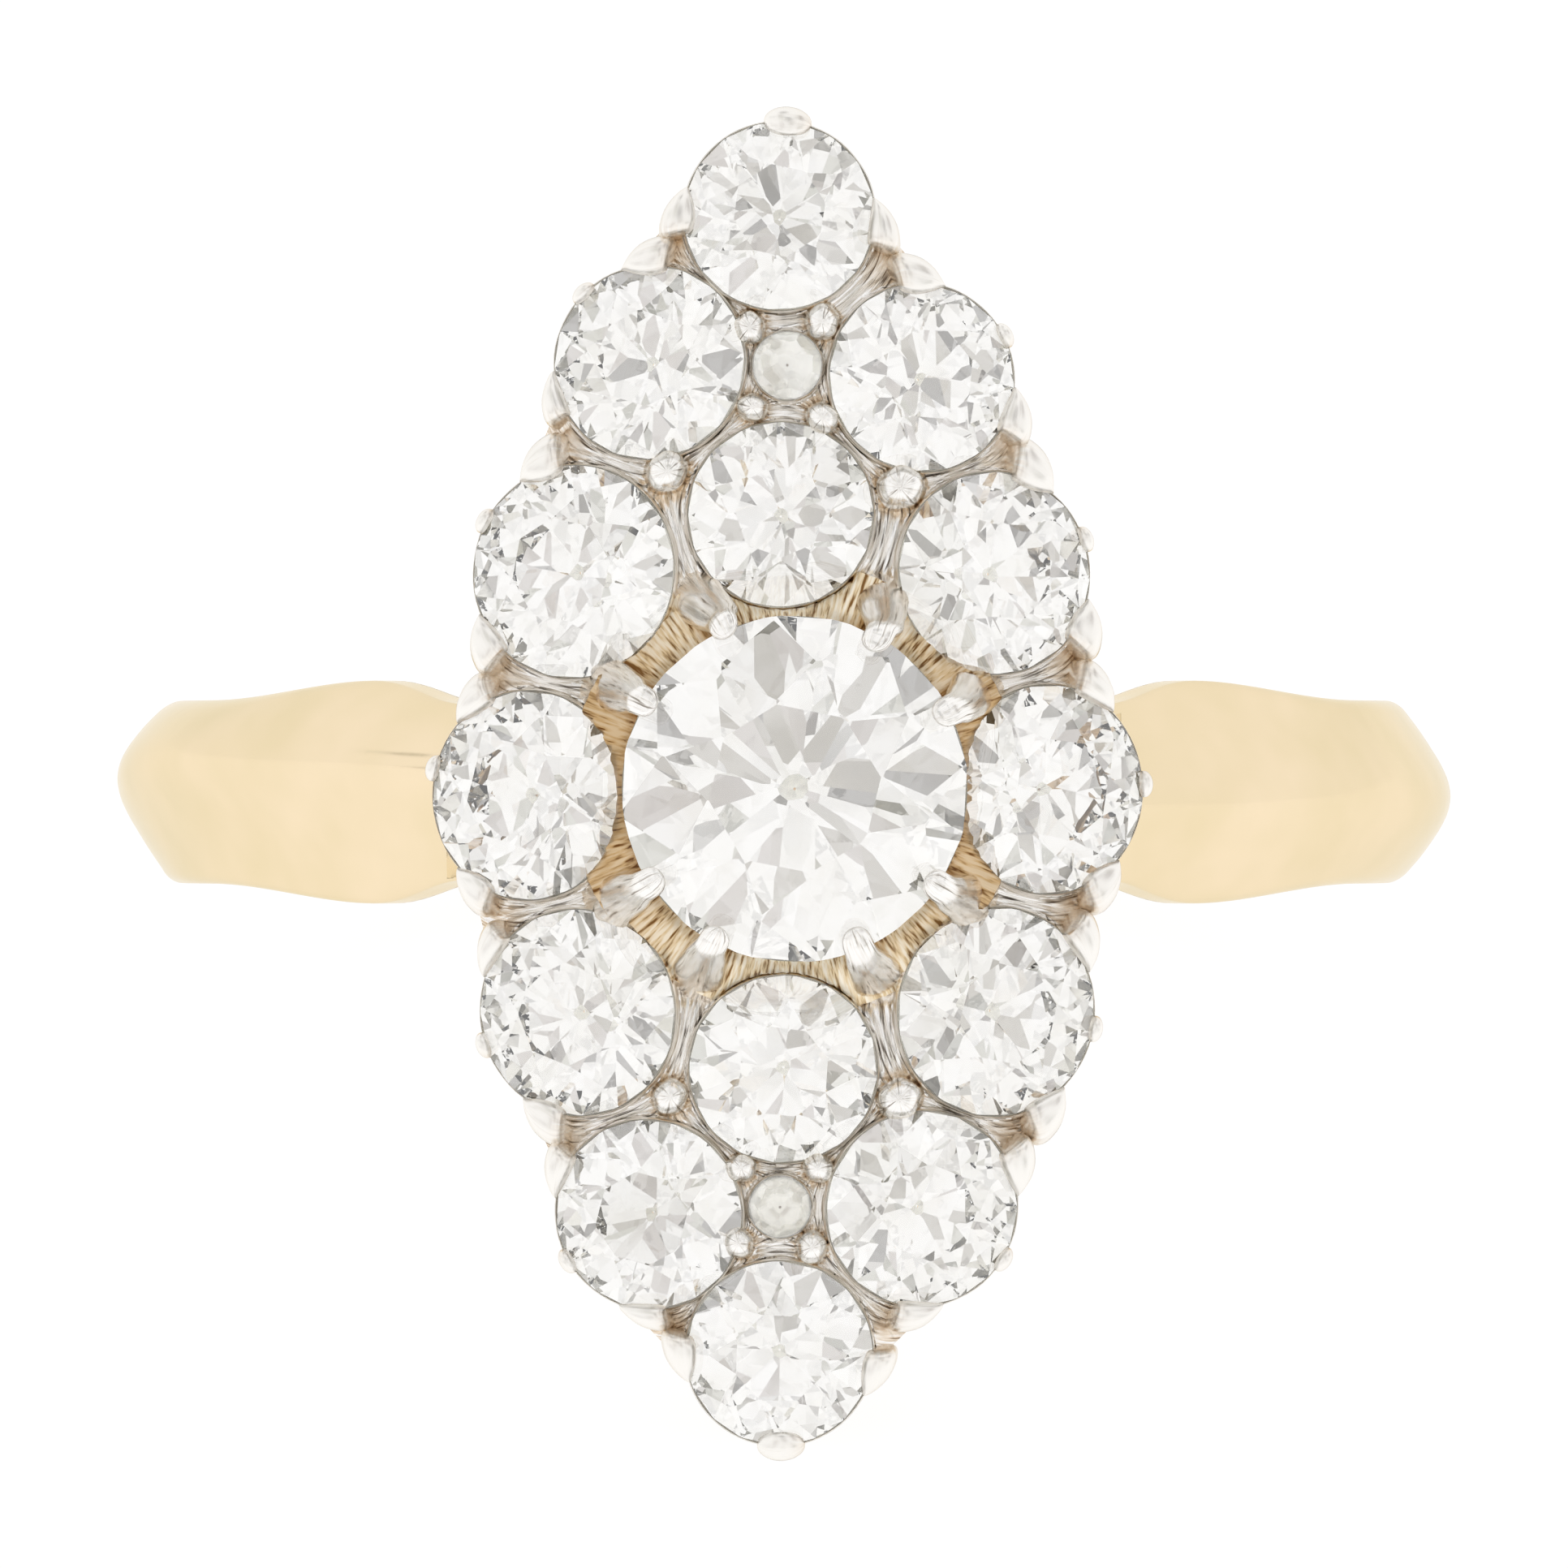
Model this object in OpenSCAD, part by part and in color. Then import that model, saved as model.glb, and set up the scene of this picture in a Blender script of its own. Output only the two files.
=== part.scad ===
// Navette cluster ring: a yellow gold ring whose long pointed-oval head is filled with round diamonds.
// The jeweller's frame has X across the hand, Y along the finger and Z out of the face of the ring.
// The finished ring is laid on its side: it leans on the lower point of its head and on its band.
// The origin is the centre of the finger hole. All sizes are in millimetres.

/* [Finger hole] */
// Diameter of the finger hole
finger_d = 17.2; // [16.8:0.1:17.6]

/* [Band] */
// Thickness of the band at its middle ridge
ridge_t = 1.8; // [1.6:0.05:2.0]
// Width of the band at the palm
palm_w = 2.4; // [2.2:0.05:2.6]
// Width of the band beside the finger
side_w = 2.84; // [2.7:0.02:3.0]
// Width of the shoulders at their widest
shoulder_w = 3.42; // [3.2:0.02:3.5]
// Width of the shoulders where they meet the head
neck_w = 2.6; // [2.4:0.05:2.8]
// Distance from the middle of the ring to the widest place of a shoulder
shoulder_x = 6.75; // [6.5:0.05:7]

/* [Head] */
// Height of the outer stones' girdles above the centre of the finger hole, at the middle of the head
girdle_z = 12.1; // [11.9:0.05:12.4]
// How much higher the centre stone sits than the stones round it
centre_rise = 0.9; // [0.8:0.05:1.1]
// Radius of the head's curve across the finger
dome_across_r = 9; // [8.5:0.1:10]
// Radius of the head's curve along the finger
dome_along_r = 60; // [50:1:80]
// Thickness of the base plate that follows the finger
plate_t = 0.75; // [0.6:0.05:0.85]
// Half of the base plate's length along the finger
plate_half_l = 8.4; // [8:0.1:8.6]
// Half of the base plate's width across the finger
plate_half_w = 4.5; // [4.2:0.1:4.8]

/* [Setting] */
// Depth of the white metal below the girdles
white_depth = 0.8; // [0.7:0.05:0.9]
// Clearance between a stone and its metal, and between the two metals
clearance = 0.03; // [0.02:0.01:0.05]
// Radius of a claw's stem
claw_r = 0.23; // [0.2:0.01:0.25]

/* [Diamonds] */
// Share of a stone's width that its table takes
table_share = 0.5; // [0.45:0.01:0.55]
// Slope of the crown's main facets in degrees
crown_deg = 33; // [30:1:36]
// Slope of the pavilion's main facets in degrees
pavilion_deg = 40.5; // [39:0.5:42]
// Share of a stone's width that its open culet takes
culet_share = 0.08; // [0.05:0.01:0.1]

/* [Hidden] */

finger_r = finger_d / 2;
ridge_r = finger_r + ridge_t;
GOLD = [0.93, 0.80, 0.55];
WHITE_METAL = [0.86, 0.85, 0.83];
DIAMOND = [0.93, 0.94, 0.95];

// Columns of the stone table
X = 0;
Y = 1;
R = 2;
RISE = 3;
SPIN = 4;
SINGLE = 5;

// Place across and along the head, radius, rise above the dome, turn about its axis, single cut or not
STONES = [
    [0.16, 0.05, 2.62, centre_rise, 8, false],
    [-0.07, 8.73, 1.44, 0, 12, false],
    [-2.04, 6.51, 1.47, 0, 3, false],
    [2.09, 6.28, 1.43, 0, 17, false],
    [-0.05, 4.20, 1.40, 0, 0, false],
    [-3.19, 3.34, 1.61, 0, 9, false],
    [3.19, 3.32, 1.53, 0, 20, false],
    [-3.88, -0.05, 1.58, 0, 5, false],
    [4.00, 0.04, 1.58, 0, 14, false],
    [-3.13, -3.34, 1.56, 0, 2, false],
    [3.22, -3.33, 1.58, 0, 11, false],
    [-0.01, -4.19, 1.42, 0, 18, false],
    [-2.05, -6.40, 1.44, 0, 7, false],
    [2.09, -6.31, 1.48, 0, 1, false],
    [-0.07, -8.50, 1.41, 0, 22, false],
    [0.05, 6.46, 0.52, 0.05, 0, true],
    [-0.06, -6.28, 0.47, 0.05, 10, true]
];
CENTRE = 0;
LAST_LARGE = 14;
UPPER_ROSE = 15;
LOWER_ROSE = 16;

// Columns of the claw table: the stone that the claw holds, its direction, and its reach in stone radii
STONE = 0;
DIRECTION = 1;
REACH = 2;
OUTER_CLAWS = [
    [1, 85, 1.02], [1, 179, 1.10], [1, 354, 1.13],
    [2, 91, 1.15], [2, 134, 1.03], [2, 201, 1.07],
    [3, 92, 1.17], [3, 27, 1.00], [3, 338, 1.15],
    [5, 107, 1.17], [5, 151, 1.03], [5, 218, 1.16],
    [6, 68, 1.22], [6, 20, 1.02], [6, 330, 1.17],
    [7, 121, 1.12], [7, 165, 1.06], [7, 239, 1.10],
    [8, 63, 1.16], [8, 3, 1.04], [8, 302, 1.15],
    [9, 145, 1.09], [9, 199, 1.02], [9, 252, 1.16],
    [10, 37, 1.17], [10, 350, 1.02], [10, 298, 1.20],
    [12, 154, 1.10], [12, 210, 1.02], [12, 268, 1.06],
    [13, 23, 1.16], [13, 328, 1.02], [13, 267, 1.12],
    [14, 181, 1.10], [14, 350, 1.09], [14, 271, 1.03]
];

// Columns of the centre claws: the foot's and the tip's place across and along the head
FOOT_X = 0;
FOOT_Y = 1;
TIP_X = 2;
TIP_Y = 3;
CENTRE_CLAWS = [
    [-1.50, 3.10, -0.90, 2.50], [1.45, 3.15, 1.40, 2.31],
    [-2.85, 1.72, -2.10, 1.36], [3.00, 1.75, 2.45, 1.20],
    [-2.80, -1.78, -2.00, -1.35], [3.00, -1.72, 2.30, -1.40],
    [-1.38, -2.95, -1.05, -2.22], [1.55, -2.95, 1.10, -2.25]
];

// Beads of metal in the gaps inside the head: place across and along the head, and radius
BEAD_R = 2;
BEADS = [
    [-1.77, 4.85, 0.28], [1.76, 4.61, 0.31], [-0.48, 5.82, 0.20], [0.58, 5.66, 0.22],
    [-0.52, 7.03, 0.22], [0.58, 7.12, 0.24], [-1.72, -4.61, 0.24], [1.74, -4.64, 0.29],
    [-0.65, -5.69, 0.20], [0.52, -5.69, 0.20], [-0.69, -6.82, 0.21], [0.42, -6.89, 0.22]
];

// Half of the band's section: half width, and drop below the ridge
BAND_SECTION = [[0.14, 0], [0.45, 0.12], [0.97, 0.46], [1.33, 0.76], [1.80, 1.11]];
neck_x = 4.85;
side_x = 9.3;
outline_steps = 6;
band_end_x = 3.7;

// Gold cups under the stones
cup_top_share = 0.91;
cup_foot_share = 0.70;
cup_pull = 0.93;
bore_top_share = 0.72;
bore_foot_share = 0.45;
cup_overrun = 0.5;
trim_share = 1.23;

girdle_share = 0.06;
star_share = 0.78;
lower_half_share = 0.40;
star_room = 0.12;
collar_lip = 0.06;
web_share = 0.60;
web_top = 0.18;
web_low = 0.54;
web_reach = 0.45;
claw_tip_r = 0.19;
claw_tip_z = 0.30;
claw_lap = 0.14;
bead_foot = 0.5;
bead_top = 0.22;

// The lean that puts the lower point of the head and the palm's edge of the band on one level
point_y = STONES[LAST_LARGE][Y] - STONES[LAST_LARGE][R] - claw_r * 0.35;
point_z = dome_z(0, point_y) - white_depth * 0.55;
palm_edge_r = ridge_r - drop_at(palm_w / 2);
lean = atan((-palm_w / 2 - point_y) / (point_z + palm_edge_r));

function dome_z(x, y) = girdle_z - x * x / (2 * dome_across_r) - y * y / (2 * dome_along_r);
function stone_z(s) = dome_z(s[X], s[Y]) + s[RISE];
function stone_place(s) = [s[X], s[Y], stone_z(s)];
// The centre stone faces straight out, and each other stone follows the dome
function slope(s) = s[R] > 2 ? [0, 0] : [s[X] / dome_across_r, s[Y] / dome_along_r];
function tilt(s) = atan(norm(slope(s)));
function heading(s) = norm(slope(s)) == 0 ? 0 : atan2(slope(s)[1], slope(s)[0]);
function stone_axis(s) = [
    sin(tilt(s)) * cos(heading(s)), sin(tilt(s)) * sin(heading(s)), cos(tilt(s))
];
function blend(share) = (1 - cos(180 * share)) / 2;
function mix(a, b, share) = a + (b - a) * share;
function drop_at(half) = lookup(half, BAND_SECTION);

// Half width of the upper half of the band at a distance across the hand
function upper_half_w(x) =
    x >= side_x ? side_w / 2
    : x >= shoulder_x
        ? mix(shoulder_w, side_w, blend((x - shoulder_x) / (side_x - shoulder_x))) / 2
    : x >= neck_x
        ? mix(shoulder_w, neck_w, blend((shoulder_x - x) / (shoulder_x - neck_x))) / 2
    : neck_w / 2;

module laid_on_its_side() {
    rotate([90 - lean, 0, 0]) children();
}

// Puts its children at a stone's girdle, with Z along the stone's axis
module at_stone(s) {
    translate(stone_place(s))
        rotate([0, tilt(s), heading(s)])
            rotate(-heading(s))
                children();
}

// A straight cone from one point to another
module cone_between(from, to, r1, r2, fn) {
    d = to - from;
    translate(from)
        rotate([0, acos(d[2] / norm(d)), norm([d[0], d[1]]) == 0 ? 0 : atan2(d[1], d[0])])
            cylinder(h = norm(d), r1 = r1, r2 = r2, $fn = fn);
}

// The band's ring, wide enough for its shoulders
module full_band() {
    half = BAND_SECTION[len(BAND_SECTION) - 1][0];
    rotate([90, 0, 0])
        rotate_extrude($fn = 180)
            polygon(concat(
                [for (p = BAND_SECTION) [ridge_r - p[1], p[0]]],
                [[finger_r, half], [finger_r, -half]],
                [for (i = [len(BAND_SECTION) - 1:-1:0])
                    [ridge_r - BAND_SECTION[i][1], -BAND_SECTION[i][0]]]
            ));
}

// The outline of the shoulders, seen onto the face of the ring
module shoulder_outline() {
    xs = concat(
        [band_end_x],
        [for (i = [0:outline_steps]) mix(neck_x, shoulder_x, i / outline_steps)],
        [for (i = [1:outline_steps]) mix(shoulder_x, side_x, i / outline_steps)],
        [ridge_r + 1]
    );
    half = [for (x = xs) [x, upper_half_w(x)]];
    back = [for (i = [len(xs) - 1:-1:0]) [xs[i], -upper_half_w(xs[i])]];
    for (side = [0, 1]) mirror([side, 0]) polygon(concat(half, back));
}

module band() {
    intersection() {
        full_band();
        union() {
            linear_extrude(height = ridge_r + 1) shoulder_outline();
            rotate([90, 0, 90])
                translate([0, 0, -ridge_r - 1])
                    linear_extrude(height = 2 * ridge_r + 2)
                        polygon([
                            [-side_w / 2, 0], [-palm_w / 2, -ridge_r - 1],
                            [palm_w / 2, -ridge_r - 1], [side_w / 2, 0]
                        ]);
        }
    }
}

// A pointed oval between two arcs
module navette(half_l, half_w) {
    r = (half_l * half_l + half_w * half_w) / (2 * half_w);
    intersection() {
        translate([r - half_w, 0]) circle(r = r, $fn = 120);
        translate([half_w - r, 0]) circle(r = r, $fn = 120);
    }
}

// The base plate lies on the finger and carries the cups
module base_plate() {
    intersection() {
        rotate([90, 0, 0])
            cylinder(h = 2 * plate_half_l + 2, r = finger_r + plate_t, center = true, $fn = 180);
        linear_extrude(height = ridge_r) navette(plate_half_l, plate_half_w);
    }
}

// The cups' feet draw in towards the middle of the head, apart from the centre stone's
function cup_foot(s) = let (pull = s[R] > 2 ? 1 : cup_pull, x = s[X] * pull, y = s[Y] * pull)
    [x, y, sqrt(pow(finger_r + plate_t / 2, 2) - x * x)];
function cup_head(s) = stone_place(s) - stone_axis(s) * (white_depth - cup_overrun);

// A tapering cup that carries one stone
module cup(s) {
    cone_between(cup_foot(s), cup_head(s), s[R] * cup_foot_share, s[R] * cup_top_share, 48);
}

// The open back of a cup, drilled through the plate
module cup_bore(s) {
    axis = (cup_head(s) - cup_foot(s)) / norm(cup_head(s) - cup_foot(s));
    cone_between(
        cup_foot(s) - axis * (plate_t + 0.6), cup_head(s) + axis * 0.1,
        s[R] * bore_foot_share, s[R] * bore_top_share, 40
    );
}

// The room that the white metal takes above a cup
module cup_trim(s) {
    at_stone(s)
        translate([0, 0, -white_depth - clearance])
            cylinder(h = 2, r = s[R] * trim_share, $fn = 48);
}

module gold_mount() {
    color(GOLD) laid_on_its_side() difference() {
        union() {
            band();
            base_plate();
            for (i = [0:LAST_LARGE]) cup(STONES[i]);
        }
        for (i = [0:LAST_LARGE]) {
            cup_bore(STONES[i]);
            cup_trim(STONES[i]);
        }
        rotate([90, 0, 0]) cylinder(h = 30, r = finger_r, center = true, $fn = 180);
    }
}

// Corners of an old-cut brilliant round Z, from the table down to the culet
function brilliant_points(r) =
    let (
        half_girdle = r * girdle_share / 2,
        table_r = r * table_share,
        crown = tan(crown_deg),
        pavilion = tan(pavilion_deg),
        star_r = r * star_share,
        low_r = r * lower_half_share,
        culet_r = r * culet_share
    )
    concat(
        [for (k = [0:7]) [table_r * cos(45 * k), table_r * sin(45 * k),
            half_girdle + (r - table_r) * crown]],
        [for (k = [0:7]) [star_r * cos(45 * k + 22.5), star_r * sin(45 * k + 22.5),
            half_girdle + (r - star_r * cos(22.5)) * crown]],
        [for (k = [0:15]) [r * cos(22.5 * k), r * sin(22.5 * k), half_girdle]],
        [for (k = [0:15]) [r * cos(22.5 * k), r * sin(22.5 * k), -half_girdle]],
        [for (k = [0:7]) [low_r * cos(45 * k + 22.5), low_r * sin(45 * k + 22.5),
            -half_girdle - (r - low_r * cos(22.5)) * pavilion]],
        [for (k = [0:7]) [culet_r * cos(45 * k + 22.5), culet_r * sin(45 * k + 22.5),
            -half_girdle - (r - culet_r * cos(22.5)) * pavilion]]
    );

TABLE = 0;
STAR = 8;
UPPER = 16;
LOWER = 32;
PAVILION = 48;
CULET = 56;

// Facets of the brilliant: table, stars, mains, halves, girdle, lower halves, lower mains, culet
function brilliant_facets() = concat(
    [[for (k = [7:-1:0]) TABLE + k]],
    [for (k = [0:7]) [TABLE + k, TABLE + (k + 1) % 8, STAR + k]],
    [for (k = [0:7]) [TABLE + k, STAR + k, UPPER + 2 * k, STAR + (k + 7) % 8]],
    [for (k = [0:7]) [STAR + k, UPPER + 2 * k + 1, UPPER + 2 * k]],
    [for (k = [0:7]) [STAR + k, UPPER + (2 * k + 2) % 16, UPPER + 2 * k + 1]],
    [for (k = [0:15]) [UPPER + k, UPPER + (k + 1) % 16, LOWER + (k + 1) % 16, LOWER + k]],
    [for (k = [0:7]) [PAVILION + k, LOWER + 2 * k, LOWER + 2 * k + 1]],
    [for (k = [0:7]) [PAVILION + k, LOWER + 2 * k + 1, LOWER + (2 * k + 2) % 16]],
    [for (k = [0:7]) [LOWER + 2 * k, PAVILION + k, CULET + k, CULET + (k + 7) % 8,
        PAVILION + (k + 7) % 8]],
    [[for (k = [0:7]) CULET + k]]
);

// Corners of a single cut: an octagonal table, eight crown facets and eight pavilion facets
function single_points(r) =
    let (half_girdle = r * girdle_share / 2, table_r = r * 0.55)
    concat(
        [for (k = [0:7]) [table_r * cos(45 * k), table_r * sin(45 * k), half_girdle + r * 0.3]],
        [for (k = [0:7]) [r * cos(45 * k), r * sin(45 * k), half_girdle]],
        [for (k = [0:7]) [r * cos(45 * k), r * sin(45 * k), -half_girdle]],
        [[0, 0, -half_girdle - r * 0.75]]
    );

function single_facets() = concat(
    [[for (k = [7:-1:0]) k]],
    [for (k = [0:7]) [k, (k + 1) % 8, 8 + (k + 1) % 8, 8 + k]],
    [for (k = [0:7]) [8 + k, 8 + (k + 1) % 8, 16 + (k + 1) % 8, 16 + k]],
    [for (k = [0:7]) [16 + k, 16 + (k + 1) % 8, 24]]
);

// A cut stone with its girdle at z = 0
module cut_stone(s) {
    rotate(s[SPIN])
        if (s[SINGLE]) polyhedron(single_points(s[R]), single_facets());
        else polyhedron(brilliant_points(s[R]), brilliant_facets());
}

module diamond(i) {
    color(DIAMOND) laid_on_its_side() at_stone(STONES[i]) cut_stone(STONES[i]);
}

// White metal collar under the girdle of one stone
module collar(s) {
    depth = s[SINGLE] ? web_low : white_depth;
    at_stone(s)
        translate([0, 0, -depth])
            cylinder(
                h = depth - collar_lip, r1 = s[R] * cup_top_share, r2 = s[R] * 0.99, $fn = 16
            );
}

// The seat that is cut in the collar, with the open back below the stone
module seat(s) {
    half_girdle = s[R] * girdle_share / 2;
    table_r = s[R] * table_share;
    crown_h = (s[R] - table_r) * tan(crown_deg);
    at_stone(s) rotate(s[SPIN])
        rotate_extrude($fn = 16) polygon([
            [0, -white_depth - 1], [s[R] * 0.2, -white_depth - 1],
            [s[R] + clearance, -half_girdle - clearance],
            [s[R] + clearance, half_girdle + clearance],
            [table_r + s[R] * star_room + clearance, half_girdle + crown_h + clearance],
            [0, half_girdle + crown_h + clearance]
        ]);
}

// A web of metal joins two stones that lie side by side
module web(a, b) {
    toward = atan2(b[Y] - a[Y], b[X] - a[X]);
    hull() for (s = [a, b])
        at_stone(s)
            rotate(toward)
                translate([0, 0, -(web_low + web_top) / 2])
                    cube([0.1, 2 * s[R] * web_share, web_low - web_top], center = true);
}

function side_by_side(a, b) =
    norm([a[X] - b[X], a[Y] - b[Y]]) < a[R] + b[R] + web_reach;

// A claw rises beside its stone and laps over the crown
module outer_claw(c) {
    s = STONES[c[STONE]];
    out = s[R] * c[REACH];
    at_stone(s) rotate(c[DIRECTION]) hull() {
        translate([out - 0.12, 0, -white_depth + 0.1]) cylinder(h = 0.05, r = claw_r, $fn = 5);
        translate([out, 0, 0]) cylinder(h = 0.1, r = claw_r, $fn = 6);
        translate([s[R] - claw_lap, 0, claw_tip_z]) sphere(r = claw_tip_r, $fn = 5);
    }
}

module centre_claw(c) {
    top = stone_z(STONES[CENTRE]);
    hull() {
        translate([c[FOOT_X], c[FOOT_Y], dome_z(c[FOOT_X], c[FOOT_Y]) - 0.45])
            cylinder(h = 0.1, r = claw_r * 1.2, $fn = 6);
        translate([mix(c[FOOT_X], c[TIP_X], 0.6), mix(c[FOOT_Y], c[TIP_Y], 0.6), top])
            cylinder(h = 0.1, r = claw_r, $fn = 6);
        translate([c[TIP_X], c[TIP_Y], top + claw_tip_z]) sphere(r = claw_tip_r, $fn = 5);
    }
}

// A bead rises from the web in the gap between stones
module bead(b) {
    translate([b[X], b[Y], dome_z(b[X], b[Y]) - bead_foot])
        cylinder(h = bead_foot + bead_top, r1 = b[BEAD_R] * 1.1, r2 = b[BEAD_R] * 0.8, $fn = 8);
}

module claw_setting() {
    color(WHITE_METAL) laid_on_its_side() difference() {
        union() {
            for (i = [1:len(STONES) - 1]) collar(STONES[i]);
            for (i = [1:len(STONES) - 1], j = [1:len(STONES) - 1])
                if (i < j && side_by_side(STONES[i], STONES[j])) web(STONES[i], STONES[j]);
            for (c = OUTER_CLAWS) outer_claw(c);
            for (c = CENTRE_CLAWS) centre_claw(c);
            for (b = BEADS) bead(b);
        }
        for (s = STONES) seat(s);
    }
}

gold_mount();
claw_setting();
diamond(CENTRE);  // centre_diamond
diamond(1);  // top_diamond
diamond(2);  // upper_left_diamond
diamond(3);  // upper_right_diamond
diamond(4);  // upper_inner_diamond
diamond(5);  // left_high_diamond
diamond(6);  // right_high_diamond
diamond(7);  // left_diamond
diamond(8);  // right_diamond
diamond(9);  // left_low_diamond
diamond(10);  // right_low_diamond
diamond(11);  // lower_inner_diamond
diamond(12);  // lower_left_diamond
diamond(13);  // lower_right_diamond
diamond(14);  // bottom_diamond
diamond(UPPER_ROSE);  // upper_rose_diamond
diamond(LOWER_ROSE);  // lower_rose_diamond
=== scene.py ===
"""Navette ring lying on its side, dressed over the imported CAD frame.

Lengths of the ring are in millimetres in the jeweller's frame: X across the hand, Y along the finger and Z
out of the face. Meshes are turned and scaled into the row's frame, in metres, when they are made.
"""

import logging
import math
import random
from collections.abc import Callable, Sequence
from dataclasses import dataclass, field
from enum import Enum

import bmesh
import bpy
from mathutils import Matrix, Vector, noise


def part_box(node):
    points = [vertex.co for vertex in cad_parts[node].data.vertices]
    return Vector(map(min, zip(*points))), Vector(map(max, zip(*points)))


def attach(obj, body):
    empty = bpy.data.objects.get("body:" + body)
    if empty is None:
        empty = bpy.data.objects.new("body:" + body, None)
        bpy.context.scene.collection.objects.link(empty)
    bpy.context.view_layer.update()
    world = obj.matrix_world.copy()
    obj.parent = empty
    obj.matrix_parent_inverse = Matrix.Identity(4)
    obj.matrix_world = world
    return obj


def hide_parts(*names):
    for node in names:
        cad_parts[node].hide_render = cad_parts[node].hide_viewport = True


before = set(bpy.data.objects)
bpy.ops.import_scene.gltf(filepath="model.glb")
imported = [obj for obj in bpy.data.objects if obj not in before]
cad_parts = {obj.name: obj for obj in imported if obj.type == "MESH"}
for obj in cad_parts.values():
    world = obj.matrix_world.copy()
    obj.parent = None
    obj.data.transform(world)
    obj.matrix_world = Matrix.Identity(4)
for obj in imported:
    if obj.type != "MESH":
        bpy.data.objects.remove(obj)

LOG = logging.getLogger("navette_ring")

MM = 0.001
# The ring rests on the lower point of its head and on its palm side, so its face leans back
LEAN_DEG = 23.1326
FINGER_R = 8.6
RIDGE_R = 10.4
# The girdles of the outer stones lie on a dome, given by its top and its two radii
GIRDLE_Z = 12.1
DOME_ACROSS_R = 9.0
DOME_ALONG_R = 60.0
CENTRE_RISE = 0.9
# The facets of every stone are laid out in eighths of a turn
EIGHTH_DEG = 45.0

# From the jeweller's frame to the row's, with the scale and as a plain turn
TO_ROW = Matrix.Scale(MM, 4) @ Matrix.Rotation(math.radians(90 - LEAN_DEG), 4, "X")
ROW_TURN = TO_ROW.to_3x3().normalized()


class Slot(Enum):
    """The record's material slots."""

    GOLD = "yellow_gold"
    WHITE = "platinum"
    STONE = "diamond"


class Cut(Enum):
    """How a diamond is cut."""

    OLD_BRILLIANT = "old brilliant"
    ROSE = "rose"


@dataclass(frozen=True)
class Stone:
    """One diamond's place on the head.

    x and y are across and along the head, r the girdle's radius, rise the height above the dome, and spin the
    turn about its own axis in degrees.
    """

    node: str
    x: float
    y: float
    r: float
    rise: float
    spin: float
    cut: Cut = Cut.OLD_BRILLIANT

    @property
    def place(self) -> Vector:
        """Middle of the girdle."""
        return Vector((self.x, self.y, dome_z(self.x, self.y) + self.rise))

    @property
    def seat(self) -> Matrix:
        """Turns the stone's own frame, Z out of its table, into the jeweller's frame.

        Returns:
            The turn and the shift. The raised centre stone stands level.
        """
        level = self.rise >= CENTRE_RISE
        slope = Vector((0.0, 0.0) if level else (self.x / DOME_ACROSS_R, self.y / DOME_ALONG_R))
        heading = math.atan2(slope.y, slope.x) if slope.length > 0 else 0.0
        tilt = math.atan(slope.length)
        turn = Matrix.Rotation(heading, 4, "Z") @ Matrix.Rotation(tilt, 4, "Y")
        return Matrix.Translation(self.place) @ turn @ Matrix.Rotation(-heading, 4, "Z")


STONES = [
    Stone("centre_diamond", 0.16, 0.05, 2.62, CENTRE_RISE, 8),
    Stone("top_diamond", -0.07, 8.73, 1.44, 0, 12),
    Stone("upper_left_diamond", -2.04, 6.51, 1.47, 0, 3),
    Stone("upper_right_diamond", 2.09, 6.28, 1.43, 0, 17),
    Stone("upper_inner_diamond", -0.05, 4.20, 1.40, 0, 0),
    Stone("left_high_diamond", -3.19, 3.34, 1.61, 0, 9),
    Stone("right_high_diamond", 3.19, 3.32, 1.53, 0, 20),
    Stone("left_diamond", -3.88, -0.05, 1.58, 0, 5),
    Stone("right_diamond", 4.00, 0.04, 1.58, 0, 14),
    Stone("left_low_diamond", -3.13, -3.34, 1.56, 0, 2),
    Stone("right_low_diamond", 3.22, -3.33, 1.58, 0, 11),
    Stone("lower_inner_diamond", -0.01, -4.19, 1.42, 0, 18),
    Stone("lower_left_diamond", -2.05, -6.40, 1.44, 0, 7),
    Stone("lower_right_diamond", 2.09, -6.31, 1.48, 0, 1),
    Stone("bottom_diamond", -0.07, -8.50, 1.41, 0, 22),
    Stone("upper_rose_diamond", 0.05, 6.46, 0.52, 0.05, 0, Cut.ROSE),
    Stone("lower_rose_diamond", -0.06, -6.28, 0.47, 0.05, 10, Cut.ROSE),
]
CENTRE = STONES[0]


@dataclass(frozen=True)
class OuterClaw:
    """A claw at the edge of one stone, at a direction in degrees and a reach in radii of that stone."""

    stone: int
    direction: float
    reach: float


@dataclass(frozen=True)
class CentreClaw:
    """A tall claw of the centre stone, from its foot to its tip."""

    foot_x: float
    foot_y: float
    tip_x: float
    tip_y: float


@dataclass(frozen=True)
class Bead:
    """A grain of metal raised in a gap between stones."""

    x: float
    y: float
    r: float


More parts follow.
